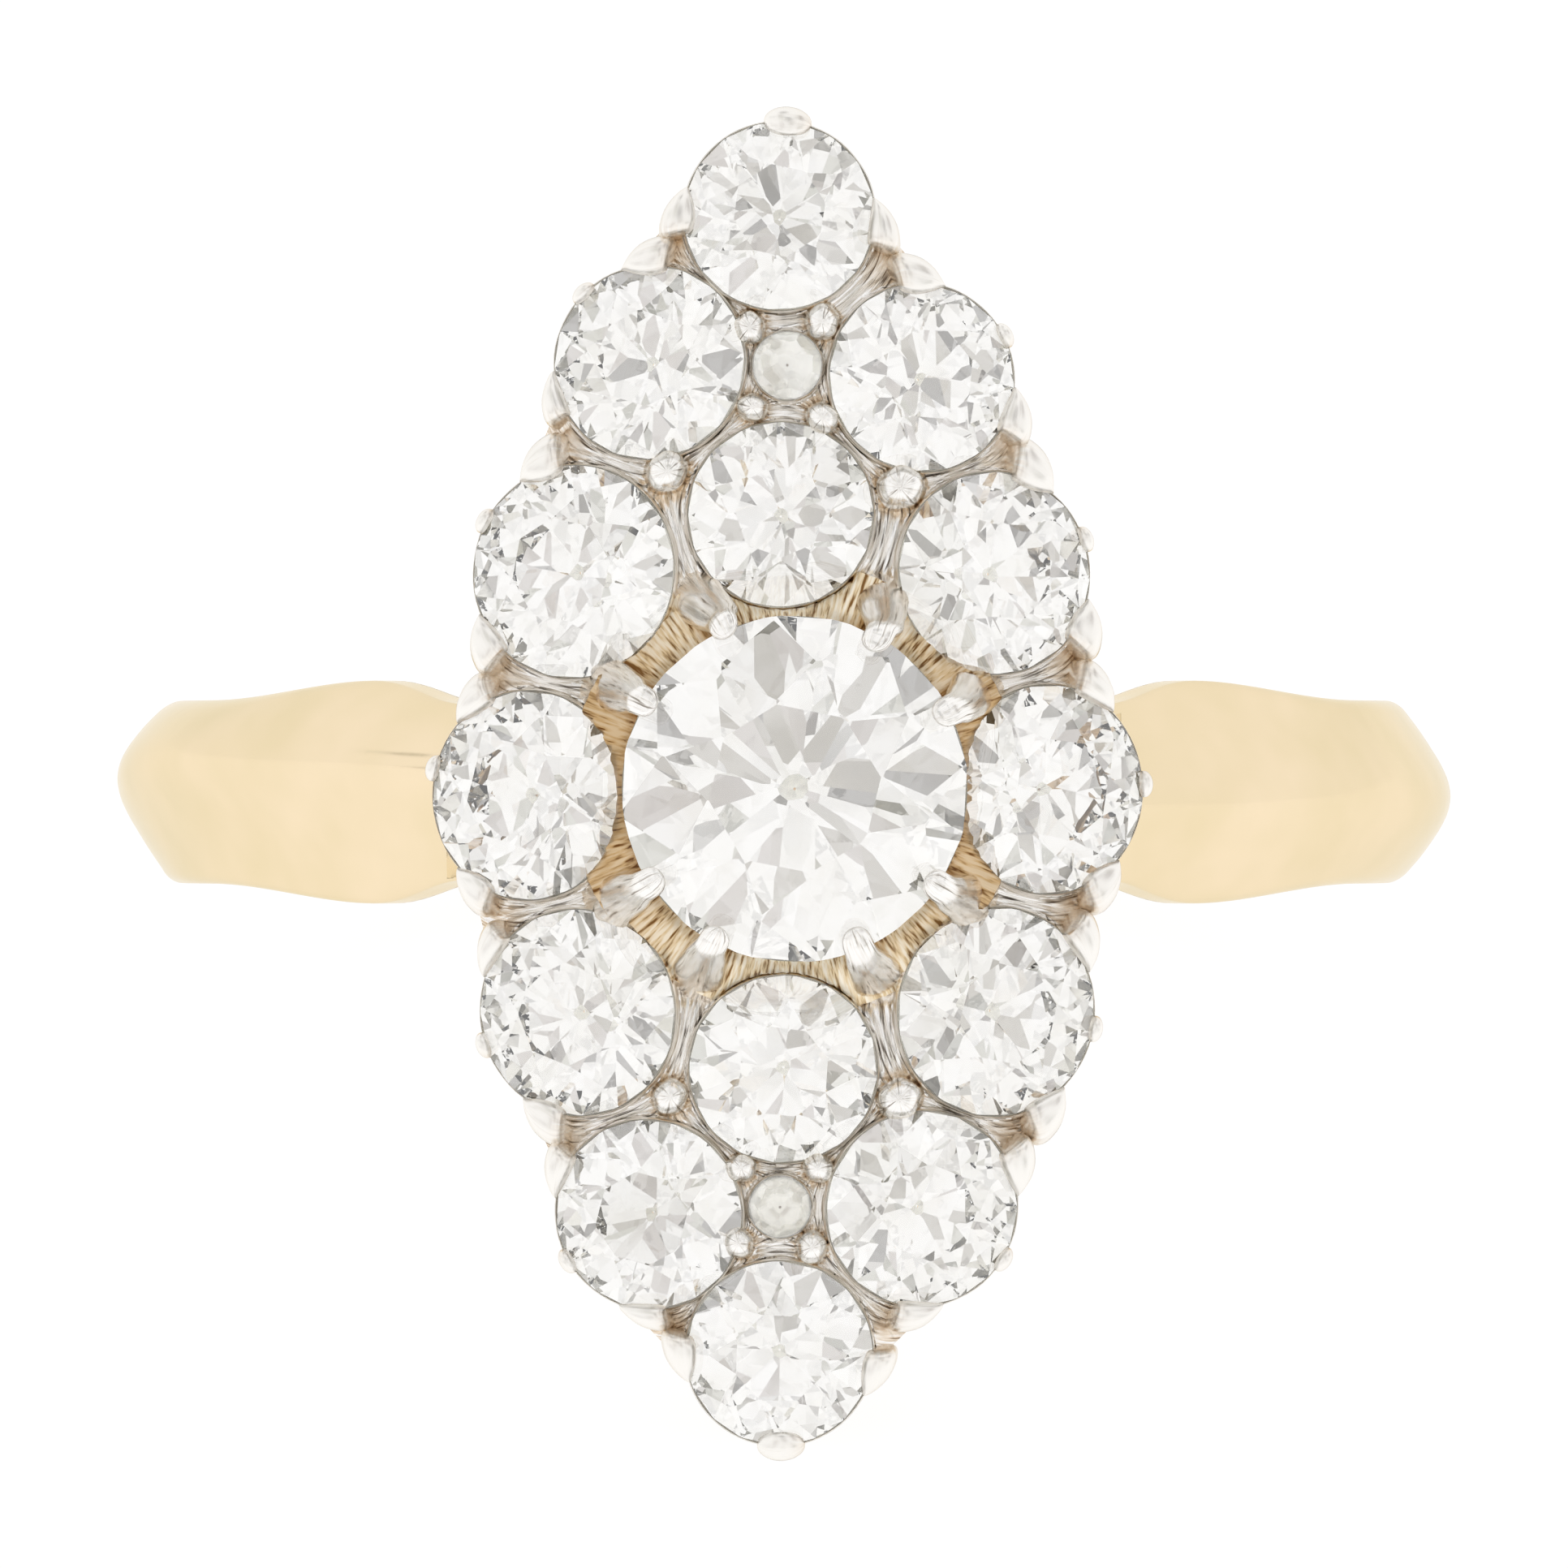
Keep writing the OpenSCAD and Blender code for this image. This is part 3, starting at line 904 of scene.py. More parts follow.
@dataclass
class Gallery:
    """The gold under the stones: base plate, drilled cups and the fluted wall round the centre stone."""

    # The gallery's gold is a deeper copy of the band's, as painted shade for the gold that lies under the
    # stones
    finish: PolishedGold = field(
        default_factory=lambda: PolishedGold(
            name="yellow_gold_gallery", deep="E9D0A0", roughness_low=0.18, roughness_high=0.34
        )
    )
    filed: FiledGold = field(default_factory=FiledGold)
    keep_x: float = 5.15
    keep_z: float = 6.3
    # The wall round the centre stone: radius and height above the centre of the finger hole
    wall: tuple[tuple[float, float], ...] = (
        (2.44, 12.76), (2.54, 12.72), (2.60, 12.60), (2.68, 12.42), (2.82, 12.26), (3.00, 12.14),
        (3.22, 12.04), (3.42, 11.95), (3.44, 11.30), (2.60, 11.30), (2.30, 12.20), (2.36, 12.62),
    )
    sides: int = 288
    flutes: int = 96
    flute_depth: float = 0.007
    # Where a stone is in the way the wall steps back, but not closer than this
    least_r: float = 2.2
    step_back: float = 0.02

    def cups(self) -> bpy.types.Object:
        """The base plate and the cups: the frame's gold with its band cut away.

        Returns:
            The piece.
        """
        mesh = bpy.data.meshes.new("gallery")
        work = bmesh.new()
        work.from_mesh(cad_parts["gold_mount"].data)
        bmesh.ops.remove_doubles(work, verts=work.verts, dist=1e-7)
        for place, normal in (
            (Vector((self.keep_x, 0, 0)), Vector((1, 0, 0))),
            (Vector((-self.keep_x, 0, 0)), Vector((-1, 0, 0))),
            (Vector((0, 0, self.keep_z)), Vector((0, 0, -1))),
        ):
            bmesh.ops.bisect_plane(
                work,
                geom=work.verts[:] + work.edges[:] + work.faces[:],
                plane_co=TO_ROW @ place,
                plane_no=ROW_TURN @ normal,
                clear_outer=True,
            )
        edges = [e for e in work.edges if e.is_boundary]
        bmesh.ops.holes_fill(work, edges=edges)
        work.to_mesh(mesh)
        work.free()
        return hand_over(mesh, "gallery", self.finish.make(), [], 35)

    def moat_wall(self) -> bpy.types.Object:
        """The fluted wall that flares out under the centre stone and stops short of the others.

        Returns:
            The piece.
        """
        shell = Shell()
        backs = [(stone, stone.seat.inverted()) for stone in STONES[1:]]
        rows = []
        run = 0.0
        for i, (r, z) in enumerate(self.wall):
            if i:
                run += math.hypot(r - self.wall[i - 1][0], z - self.wall[i - 1][1])
            row = []
            for k in range(self.sides):
                turn = 2 * math.pi * k / self.sides
                flute = math.sin(turn * self.flutes + 2 * noise.noise(Vector((turn * 9, run, 0))))
                out = r + self.flute_depth * flute
                way = way_at(turn)
                foot = Vector((CENTRE.x, CENTRE.y, z))
                while out > self.least_r and buried(foot + way * out, backs):
                    out -= self.step_back
                # Painted shade: the wall is darker towards its left and right sides and lighter towards the
                # head's two ends
                painted_shade = 1 - abs(way.y) ** 1.5
                row.append(shell.corner(foot + way * out, (run * 0.10, 2.6 * way.x, 2.6 * way.y), painted_shade))
            rows.append(row)
        shell.grid(rows, closed=True, looped=True)
        return shell.object("moat_wall", self.filed.make(), [], crease_deg=60)

    def build(self) -> list[bpy.types.Object]:
        """Builds the gallery."""
        return [self.cups(), self.moat_wall()]


@dataclass
class ClawSetting:
    """The white metal of the head: collets, cut valleys between the stones, claws and beads."""

    channel: CutPlatinum = field(default_factory=CutPlatinum)
    burnished: CutPlatinum = field(
        default_factory=lambda: CutPlatinum(
            name="platinum_burnished", light="FBF8F3", shade="F6F2EC", grime="E4DED5", grime_share=0.0,
            roughness=0.28, relief=0.15,
        )
    )
    # The tall claws and the beads keep fine file lines
    filed: CutPlatinum = field(
        default_factory=lambda: CutPlatinum(
            name="platinum_filed", light="FEFCF9", shade="F3EFE9", grime="948C83", grime_share=0.45,
            roughness=0.22, line_mm=0.06, relief=0.4,
        )
    )
    # The seats are painted near white, whiter than platinum, as painted light: the light that leaks into them
    # has to come back
    painted_bright_seat: CutPlatinum = field(
        default_factory=lambda: CutPlatinum(
            name="platinum_bright_seat", light="FFFFFC", shade="FCFBF8", grime="F2EFE9", edge="FFFFFF",
            grime_share=0.0, roughness=0.20, relief=0.0,
        )
    )
    rim: float = 0.035
    # A rose cut is shallow, and so are its collet and its seat
    collet_depth: float = 0.8
    rose_collet_depth: float = 0.54
    rose_seat_share: float = 0.15
    # The seats run parallel to the pavilions, a little below them
    seat_slope: float = 0.854
    seat_gap: float = 0.07
    collet_sides: int = 72
    # Two stones with less than this between them share a valley
    side_by_side: float = 0.45
    # A stone with less than this between it and a claw's own stone is the claw's neighbour
    claw_neighbour: float = 0.8
    # How far the stones are apart where a valley ends, inside the head and at its edge
    inner_gap: float = 0.80
    outer_gap: float = 1.38
    valley_rows: int = 30
    valley_spots: int = 25
    valley_floor: float = 0.74
    # Sag of a valley at its edges, at its middle, and for each millimetre of its width
    valley_edge_sag: float = 0.03
    valley_sag: float = 0.05
    valley_gap_sag: float = 0.34
    # Half of the head across and along, and the share of it from which a valley is cut wide at its outer end
    head_half: tuple[float, float] = (4.8, 9.25)
    edge_share: float = 0.72
    # Solder shows in the valleys' outer ends, from and in full at these shares of an ellipse. The last share
    # also sets the painted brown shade round each bead's foot
    solder_half: tuple[float, float] = (5.0, 10.0)
    solder_from: float = 0.75
    solder_full: float = 0.95
    solder_and_shade_share: float = 0.7
    # The groove that the graver left along each stone's collet
    groove: float = 0.13
    groove_w: float = 0.05
    # Slope of a stone's crown under the claws that lap over it
    crown_slope: float = 0.65
    # Room between a claw and its stone, and heights of its foot and waist under the girdle
    claw_gap: float = 0.012
    claw_foot: float = -0.72
    claw_waist: float = -0.3
    # A claw nearer than this to a neighbouring stone is a fin
    fin_reach_deg: float = 70.0
    # Half width, standing out and lap of the lobes on the head's end stones and of the small claws elsewhere
    end_claw: tuple[float, float, float] = (0.36, 0.222, 0.24)
    small_claw: tuple[float, float, float] = (0.20, 0.12, 0.09)
    end_stones: tuple[int, ...] = (1, 14)
    # Radii of a tall claw across and square to it, from its foot to its tip
    tall_radii: tuple[tuple[float, float], ...] = (
        (0.46, 0.26), (0.39, 0.22), (0.30, 0.18), (0.25, 0.14), (0.235, 0.11),
    )
    # Height of a tall claw's tip over the girdle, and room between its bend and the stone
    tall_rise: float = 0.30
    tall_clearance: float = 0.20
    # Radius as a share of the bead's, and height over its foot
    bead_outline: tuple[tuple[float, float], ...] = (
        (1.32, 0.0), (1.26, 0.36), (1.14, 0.46), (1.12, 0.56),
        (1.02, 0.68), (0.80, 0.78), (0.50, 0.84), (0.18, 0.86),
    )
    bead_sides: int = 28
    # Depth of the feet of beads and tall claws below the dome
    foot_depth: float = 0.5

    def collets(self) -> bpy.types.Object:
        """A thin collet round each stone but the centre one.

        Returns:
            The collets in one piece.
        """
        shell = Shell()
        for number, stone in enumerate(STONES[1:]):
            depth = self.rose_collet_depth if stone.cut is Cut.ROSE else self.collet_depth
            r = stone.r
            outside = r + self.rim
            outline = [
                (r * 0.91, -depth), (r * 0.955, -depth * 0.6), (outside - 0.01, -0.18), (outside, -0.10),
                (outside, -0.055), (r + 0.018, -0.025), (r + 0.002, -0.045), (r - 0.02, -0.075),
                (r - 0.08, -0.14 - r * 0.03), (r * 0.80, -depth),
            ]
            rows = []
            for i, (radius, z) in enumerate(outline):
                row = []
                for k in range(self.collet_sides):
                    turn = 2 * math.pi * k / self.collet_sides
                    way = way_at(turn)
                    wander = 0.008 * noise.noise(way * 3 + Vector((0, 0, number)))
                    spot = way * (radius + wander) + Vector((0, 0, z))
                    grain = (r * turn * 0.1 + number, i * 0.11, 0.3 * number)
                    row.append(shell.corner(stone.seat @ spot, grain))
                rows.append(row)
            shell.grid(rows, closed=True, looped=True)
        return shell.object("collets", self.burnished.make(), ["claw_setting"])

    def seats(self) -> bpy.types.Object:
        """The cone under each stone, painted near white as painted light, which throws the light that leaks
        out of it back in.

        Returns:
            The cones in one piece.
        """
        shell = Shell()
        for stone in STONES:
            deepest = stone.r * self.rose_seat_share + 0.04 if stone.cut is Cut.ROSE else stone.r
            inner = [(stone.r - 0.012, -stone.r * 0.01 - 0.045)]
            for q in (stone.r - 0.09, stone.r * 0.5, 0.02):
                z = stone.r * 0.01 + (stone.r - q) * self.seat_slope + self.seat_gap
                inner.append((q, -min(z, deepest)))
            outline = inner + [(q, z - 0.05) for q, z in reversed(inner)]
            rows = []
            for radius, z in outline:
                row = []
                for k in range(self.collet_sides):
                    turn = 2 * math.pi * k / self.collet_sides
                    spot = Vector((radius * math.cos(turn), radius * math.sin(turn), z))
                    row.append(shell.corner(stone.seat @ spot, (turn, z, 0.0)))
                rows.append(row)
            shell.grid(rows, closed=True, looped=True)
        return shell.object("stone_seats", self.painted_bright_seat.make(), [])

    def valley(self, shell: Shell, a: Stone, b: Stone, seed: int) -> None:
        """A saddle of metal between two stones, cut lower and wider towards both ends.

        Args:
            shell: The shell that takes it.
            a: One stone.
            b: The other stone.
            seed: Shift of the grain.
        """
        apart = math.hypot(b.x - a.x, b.y - a.y)
        toward = math.atan2(b.y - a.y, b.x - a.x)
        shares = [(apart - gap) / (a.r + b.r) for gap in (self.inner_gap, self.outer_gap)]
        reaches = [math.acos(min(1.0, max(0.2, share))) for share in shares]
        # The end that points away from the head's middle is the outer one
        outward = Vector((-(b.y - a.y), b.x - a.x)).dot(Vector((a.x + b.x, a.y + b.y)))
        half_x, half_y = self.head_half
        solder_x, solder_y = self.solder_half
        edge_pair = math.hypot((a.x + b.x) / 2 / half_x, (a.y + b.y) / 2 / half_y) > self.edge_share
        tops, feet = [], []
        for i in range(self.valley_rows + 1):
            share = 2 * i / self.valley_rows - 1
            reach = reaches[1 if edge_pair and share * outward > 0 else 0]
            swing = reach * share
            gap = max(0.0, apart - (a.r + b.r) * math.cos(swing))
            ahead, back = toward + swing, toward + math.pi - swing
            rim_a = Vector((a.r * math.cos(ahead), a.r * math.sin(ahead), -0.05))
            rim_b = Vector((b.r * math.cos(back), b.r * math.sin(back), -0.05))
            place_a, place_b = a.seat @ rim_a, b.seat @ rim_b
            deep = Vector((0, 0, 0.05 - self.valley_floor))
            low_a, low_b = a.seat @ (rim_a + deep), b.seat @ (rim_b + deep)
            middle = (place_a + place_b) / 2
            far_out = math.hypot(middle.x / solder_x, middle.y / solder_y)
            outside = ease((far_out - self.solder_from) / (self.solder_full - self.solder_from))
            top, foot = [], []
            for k in range(self.valley_spots):
                v = k / (self.valley_spots - 1)
                belly = 4 * v * (1 - v)
                edge = min(v, 1 - v) * (place_b - place_a).length - self.rim
                sag = self.valley_edge_sag + (self.valley_sag + self.valley_gap_sag * min(gap, 0.75)) * belly
                cutline = 0.014 * math.sin(v * 31 + seed) * belly
                spot = place_a.lerp(place_b, v)
                spot.z -= sag + cutline + self.groove * (1 - ease(edge / self.groove_w))
                soldered = ease((abs(share) - 0.25) / 0.5) * ease(belly * 1.3)
                warmth = self.solder_and_shade_share * outside * soldered
                grain = (share * reach * a.r * 0.10 + seed, v * (0.25 + gap), 0.0)
                top.append(shell.corner(spot, grain, warmth))
                under = low_a.lerp(low_b, v)
                under.z = min(under.z, spot.z - 0.12)
                foot.append(shell.corner(under, (seed, v * 0.5, 0.7), warmth))
            tops.append(top)
            feet.append(foot)
        shell.grid(tops)
        shell.grid([list(reversed(row)) for row in feet])
        for row_top, row_foot in ((tops[0], feet[0]), (tops[-1], feet[-1])):
            shell.grid([row_top, row_foot])
        for column in (0, -1):
            shell.grid([[row[column] for row in tops], [row[column] for row in feet]])

    def valleys(self) -> bpy.types.Object:
        """The saddles between all stones that lie side by side.

        Returns:
            The saddles in one piece.
        """
        shell = Shell()
        ring = STONES[1:]
        seed = 0
        for i, a in enumerate(ring):
            for b in ring[i + 1 :]:
                if math.hypot(a.x - b.x, a.y - b.y) < a.r + b.r + self.side_by_side:
                    seed += 1
                    self.valley(shell, a, b, seed)
        return shell.object("cut_valleys", self.channel.make(), [], crease_deg=35)

    def neighbour_turn(self, claw: OuterClaw) -> float:
        """Turn from a claw to the nearest stone beside its own.

        Args:
            claw: The claw.

        Returns:
            The signed turn in degrees, or 180 if no stone is near.
        """
        stone = STONES[claw.stone]
        best = 180.0
        for other in STONES[1:]:
            apart = math.hypot(other.x - stone.x, other.y - stone.y)
            if other is stone or apart > stone.r + other.r + self.claw_neighbour:
                continue
            turn = math.degrees(math.atan2(other.y - stone.y, other.x - stone.x)) - claw.direction
            turn = (turn + 180) % 360 - 180
            if abs(turn) < abs(best):
                best = turn
        return best

    def claw_section(
        self, stone: Stone, degrees: float, inner: float, outer: float, top: float
    ) -> list[Vector]:
        """Loop round a claw, square to the girdle that it holds.

        Args:
            stone: The stone.
            degrees: Direction of the section, seen from the stone's middle.
            inner: How far it laps over the stone, zero or less.
            outer: How far it stands out from the stone.
            top: Height of its top over the girdle's middle.

        Returns:
            The loop, in the jeweller's frame.
        """
        rest = stone.r * 0.008 + self.claw_gap
        lip = rest - inner * self.crown_slope
        loop = [(self.claw_gap, self.claw_foot), (self.claw_gap, self.claw_waist), (self.claw_gap, rest)]
        for k in range(9):
            a = math.pi * k / 8
            share = (1 - math.cos(a)) / 2
            low = mix(lip, -0.04, share)
            loop.append((mix(inner, outer, share), low + max(0.0, top - low) * math.sin(a) ** 0.7))
        loop += [(outer, self.claw_waist), (max(outer * 0.6, 0.02), self.claw_foot)]
        way = way_at(math.radians(degrees))
        return [stone.seat @ (way * (stone.r + out) + Vector((0, 0, z))) for out, z in loop]

    def outer_claws(self) -> bpy.types.Object:
        """The claws round the outside of the head.

        Beside a valley a claw is a fin that widens towards it. At the head's points it is a broad lobe, and
        halfway along a stone a small grain.

        Returns:
            The claws in one piece.
        """
        shell = Shell()
        for number, claw in enumerate(OUTER_CLAWS):
            stone = STONES[claw.stone]
            toward = self.neighbour_turn(claw)
            lap = claw_lap(number)
            if abs(toward) < self.fin_reach_deg:
                wide = 0.25 + 1.05 * stone.r * (claw.reach - 1)
                # Place along the girdle, lap, standing out and height of each section
                sections = [
                    (-0.42, 0.0, 0.03, 0.06),
                    (-0.36, -0.2 * lap, 0.09, 0.14),
                    (-0.22, -0.7 * lap, 0.5 * wide, 0.23),
                    (-0.05, -lap, 0.78 * wide, 0.27),
                    (0.12, -lap, 0.95 * wide, 0.28),
                    (0.22, -0.8 * lap, wide, 0.26),
                    (0.28, -0.6 * lap, 0.96 * wide, 0.20),
                    (0.31, -0.3 * lap, 0.85 * wide, 0.08),
                ]
            else:
                half, out, lap = self.end_claw if claw.stone in self.end_stones else self.small_claw
                sections = []
                for degrees in (-86, -70, -50, -25, 0, 25, 50, 70, 86):
                    a = math.radians(degrees)
                    c = math.cos(a)
                    high = 0.06 + (out * 0.6 + 0.08) * c
                    sections.append((half * math.sin(a), -lap * c, 0.02 + out * c, high))
            sign = 1 if toward > 0 else -1
            smooth = through([Vector(row) for row in sections], 3)
            loops = []
            for along, inner, outer, high in smooth:
                degrees = claw.direction + sign * math.degrees(along / stone.r)
                loops.append(self.claw_section(stone, degrees, min(0.0, inner), outer, high))
            shell.loft(loops, number * 3.7, warmth=lambda share: 0.30 * ease((share - 0.5) / 0.5))
        return shell.object("outer_claws", self.burnished.make(), [], crease_deg=60)

    def centre_claws(self) -> bpy.types.Object:
        """The eight tall claws that hold the centre stone.

        Returns:
            The claws in one piece.
        """
        shell = Shell()
        top = CENTRE.place.z
        middle = Vector((CENTRE.x, CENTRE.y, 0))
        for number, claw in enumerate(CENTRE_CLAWS):
            foot = Vector((claw.foot_x, claw.foot_y, dome_z(claw.foot_x, claw.foot_y) - self.foot_depth))
            tip = Vector((claw.tip_x, claw.tip_y, top + self.tall_rise))
            out = Vector((claw.foot_x - claw.tip_x, claw.foot_y - claw.tip_y, 0))
            ahead = (Vector((tip.x, tip.y, 0)) - middle).normalized()
            edge = middle + ahead * (CENTRE.r + self.tall_clearance)
            half_in = edge.lerp(tip, 0.5)
            knots = [
                foot, foot.lerp(Vector((edge.x, edge.y, top - 0.35)), 0.5) + Vector((0, 0, 0.12)),
                Vector((edge.x, edge.y, top - 0.12)), Vector((half_in.x, half_in.y, top + 0.2)), tip,
            ]
            widths = through([Vector((*pair, 0)) for pair in self.tall_radii], 7)
            path, radii = rounded_end(through(knots, 7), [(s.x, s.y) for s in widths])
            across = Vector((-out.y, out.x, 0)).normalized()
            shell.tube(path, radii, across, number * 5.3, warmth=lambda share: 0.35 * ease(1 - share / 0.55))
        return shell.object("centre_claws", self.filed.make(), [], crease_deg=75)

    def beads(self) -> bpy.types.Object:
        """The beads raised in the gaps, with the burr of the beading tool round their feet and painted brown
        shade on their lower rows.

        Returns:
            The beads in one piece.
        """
        shell = Shell()
        for number, bead in enumerate(BEADS):
            base = Vector((bead.x, bead.y, dome_z(bead.x, bead.y) - self.foot_depth))
            loops = []
            for share, z in self.bead_outline:
                loop = []
                for k in range(self.bead_sides):
                    turn = 2 * math.pi * k / self.bead_sides
                    wave = 1 + 0.06 * math.sin(2 * turn + number) + 0.03 * math.sin(5 * turn)
                    radius = bead.r * share * wave
                    spot = base + Vector((radius * math.cos(turn), radius * math.sin(turn), z))
                    spot.z += 0.03 * noise.noise(spot * 4)
                    loop.append(spot)
                loops.append(loop)
            # The lower rows take the gold ramp: painted brown shade round each bead's foot
            shell.loft(loops, number * 2.9, warmth=lambda share: self.solder_and_shade_share if share < 0.4 else 0.0)
        return shell.object("beads", self.filed.make(), [], crease_deg=60)

    def build(self) -> list[bpy.types.Object]:
        """Builds the white metal."""
        parts = (
            self.collets, self.seats, self.valleys, self.outer_claws, self.centre_claws, self.beads,
        )
        return [part() for part in parts]


def buried(place: Vector, backs: Sequence[tuple[Stone, Matrix]]) -> bool:
    """Whether a place lies inside a stone or its collet.

    Args:
        place: The place, in the jeweller's frame.
        backs: The stones, each with the turn into its own frame.

    Returns:
        True if a stone holds it.
    """
    # Room round the girdle, depth of the collet's lip, slope of the pavilion and height of the crown
    room, lip, slope, crown = 0.05, 0.16, 0.9, 0.4
    for stone, back in backs:
        spot = back @ place
        across = math.hypot(spot.x, spot.y)
        if across < stone.r + room and -lip - (stone.r - across) * slope < spot.z < stone.r * crown:
            return True
    return False


def claw_lap(number: int) -> float:
    """How far a claw's tip reaches over its stone, a little different from claw to claw."""
    return 0.12 + 0.05 * math.sin(number * 2.3)


def rounded_end(
    path: list[Vector], radii: list[tuple[float, float]]
) -> tuple[list[Vector], list[tuple[float, float]]]:
    """Adds a dome to the far end of a tube.

    Args:
        path: Points of the tube's middle.
        radii: Its pairs of radii.

    Returns:
        The longer path and its radii.
    """
    ahead = (path[-1] - path[-2]).normalized()
    last = path[-1]
    wide, thick = radii[-1]
    for degrees in (25, 45, 62, 76, 86):
        a = math.radians(degrees)
        path.append(last + ahead * (wide * math.sin(a)))
        radii.append((wide * math.cos(a), thick * math.cos(a)))
    return path, radii


@dataclass
class DiamondSet:
    """All diamonds, each shaped like the cutter does it: a round blank, ground flat plane by plane."""

    finish: OldDiamond = field(default_factory=OldDiamond)
    # The girdle is left rough from the bruting wheel, so it is white and lets little light through
    girdle_finish: OldDiamond = field(
        default_factory=lambda: OldDiamond(
            name="diamond_bruted", clear="FFFFFF", hazy="FCFBF9", ior=1.5, roughness=0.7, transmission=0.0
        )
    )
    # Old cutters left a girdle as thin as a knife's edge
    girdle_share: float = 0.015
    table_share: float = 0.50
    crown_deg: float = 33.0
    pavilion_deg: float = 40.5
    star_share: float = 0.78
    lower_half_share: float = 0.40
    culet_share: float = 0.08
    blank_sides: int = 96
    # How far a hand-cut facet strays from its true angle
    stray_deg: float = 0.8
    # Heights of a rose cut's small table and of its flat back, as shares of its radius
    rose_table: float = 0.34
    rose_back: float = 0.15
    # Radius and height in shares of the girdle's radius, slope and turn of each row of a rose cut's facets
    rose_rows: tuple[tuple[float, float, float, float], ...] = (
        (1.0, 0.02, 34, 0.0), (0.66, 0.23, 15, EIGHTH_DEG / 2), (1.0, -0.02, -66, 0.0),
    )
    rose_stray: float = 0.035
    # Faces steeper than this belong to the girdle
    girdle_lean: float = 0.2
    # Each stone strays by its own seed, counted from this one
    first_seed: int = 100

    def brilliant_planes(self, r: float, chance: random.Random) -> list[tuple[Vector, Vector]]:
        """Facet planes of an old-cut brilliant, each as a place and an outward normal.

        Args:
            r: The girdle's radius.
            chance: Source of the hand-cut strays.

        Returns:
            The planes, crown first.
        """
        half = r * self.girdle_share / 2
        crown = math.tan(math.radians(self.crown_deg))
        pavilion = math.tan(math.radians(self.pavilion_deg))
        table_r, star_r, low_r = r * self.table_share, r * self.star_share, r * self.lower_half_share
        planes = [(Vector((0, 0, half + (r - table_r) * crown)), Vector((0, 0, 1)))]

        def at(radius: float, degrees: float, z: float) -> Vector:
            """A point at a radius, an angle and a height."""
            a = math.radians(degrees)
            return Vector((radius * math.cos(a), radius * math.sin(a), z))

        def through_three(a: Vector, b: Vector, c: Vector) -> None:
            """Adds the plane through three points, facing away from the stone's middle.

            Args:
                a: One point.
                b: The next.
                c: The last.
            """
            normal = (b - a).cross(c - a).normalized()
            if normal.dot((a + b + c) / 3) < 0:
                normal = -normal
            stray = math.radians(self.stray_deg)
            normal = (normal + Vector([chance.gauss(0, stray) for _ in range(3)])).normalized()
            planes.append(((a + b + c) / 3, normal))

        between = EIGHTH_DEG / 2
        inset = math.cos(math.radians(between))
        star_z = half + (r - star_r * inset) * crown
        low_z = -half - (r - low_r * inset) * pavilion
        table_z = half + (r - table_r) * crown
        for k in range(8):
            here = EIGHTH_DEG * k
            middle, end = here + between, here + EIGHTH_DEG
            table, star = at(table_r, here, table_z), at(star_r, middle, star_z)
            lower = at(low_r, middle, low_z)
            through_three(at(r, here, half), table, star)
            through_three(table, at(table_r, end, table_z), star)
            through_three(star, at(r, here, half), at(r, middle, half))
            through_three(star, at(r, middle, half), at(r, end, half))
            through_three(at(r, here, -half), lower, at(low_r, here - between, low_z))
            through_three(lower, at(r, here, -half), at(r, middle, -half))
            through_three(lower, at(r, middle, -half), at(r, end, -half))
        culet_z = -half - (r - r * self.culet_share * inset) * pavilion
        planes.append((Vector((0, 0, culet_z)), Vector((0, 0, -1))))
        return planes

    def rose_planes(self, r: float, chance: random.Random) -> list[tuple[Vector, Vector]]:
        """Facet planes of a small rose cut, each as a place and an outward normal.

        Args:
            r: The girdle's radius.
            chance: Source of the hand-cut strays.

        Returns:
            The planes.
        """
        planes = [
            (Vector((0, 0, r * self.rose_table)), Vector((0, 0, 1))),
            (Vector((0, 0, -r * self.rose_back)), Vector((0, 0, -1))),
        ]
        for k in range(8):
            for share, height, slope, turn in self.rose_rows:
                out = way_at(math.radians(EIGHTH_DEG * k + turn))
                lean = math.radians(slope)
                normal = out * math.sin(abs(lean)) + Vector((0, 0, math.copysign(math.cos(lean), slope)))
                stray = Vector([chance.gauss(0, self.rose_stray) for _ in range(3)])
                planes.append((out * (r * share) + Vector((0, 0, r * height)), (normal + stray).normalized()))
        return planes

    def ground(
        self, r: float, planes: list[tuple[Vector, Vector]], turn: Matrix, name: str
    ) -> bpy.types.Mesh:
        """Grinds a round blank flat at each plane.

        Args:
            r: The blank's radius.
            planes: Places and outward normals of the facets.
            turn: Turns the stone into the row's frame.
            name: Name of the mesh.

        Returns:
            The stone's mesh, flat shaded.
        """
        work = bmesh.new()
        bmesh.ops.create_cone(
            work, cap_ends=True, segments=self.blank_sides, radius1=r, radius2=r, depth=2.4 * r,
        )
        for place, normal in planes:
            cut = bmesh.ops.bisect_plane(
                work,
                geom=work.verts[:] + work.edges[:] + work.faces[:],
                dist=1e-6,
                plane_co=place,
                plane_no=normal,
                clear_outer=True,
            )["geom_cut"]
            edges = [e for e in cut if isinstance(e, bmesh.types.BMEdge)]
            if len(edges) > 2:
                bmesh.ops.contextual_create(work, geom=edges)
        for face in work.faces:
            face.material_index = 1 if abs(face.normal.z) < self.girdle_lean else 0
        work.transform(turn)
        mesh = bpy.data.meshes.new(name)
        work.to_mesh(mesh)
        work.free()
        return mesh

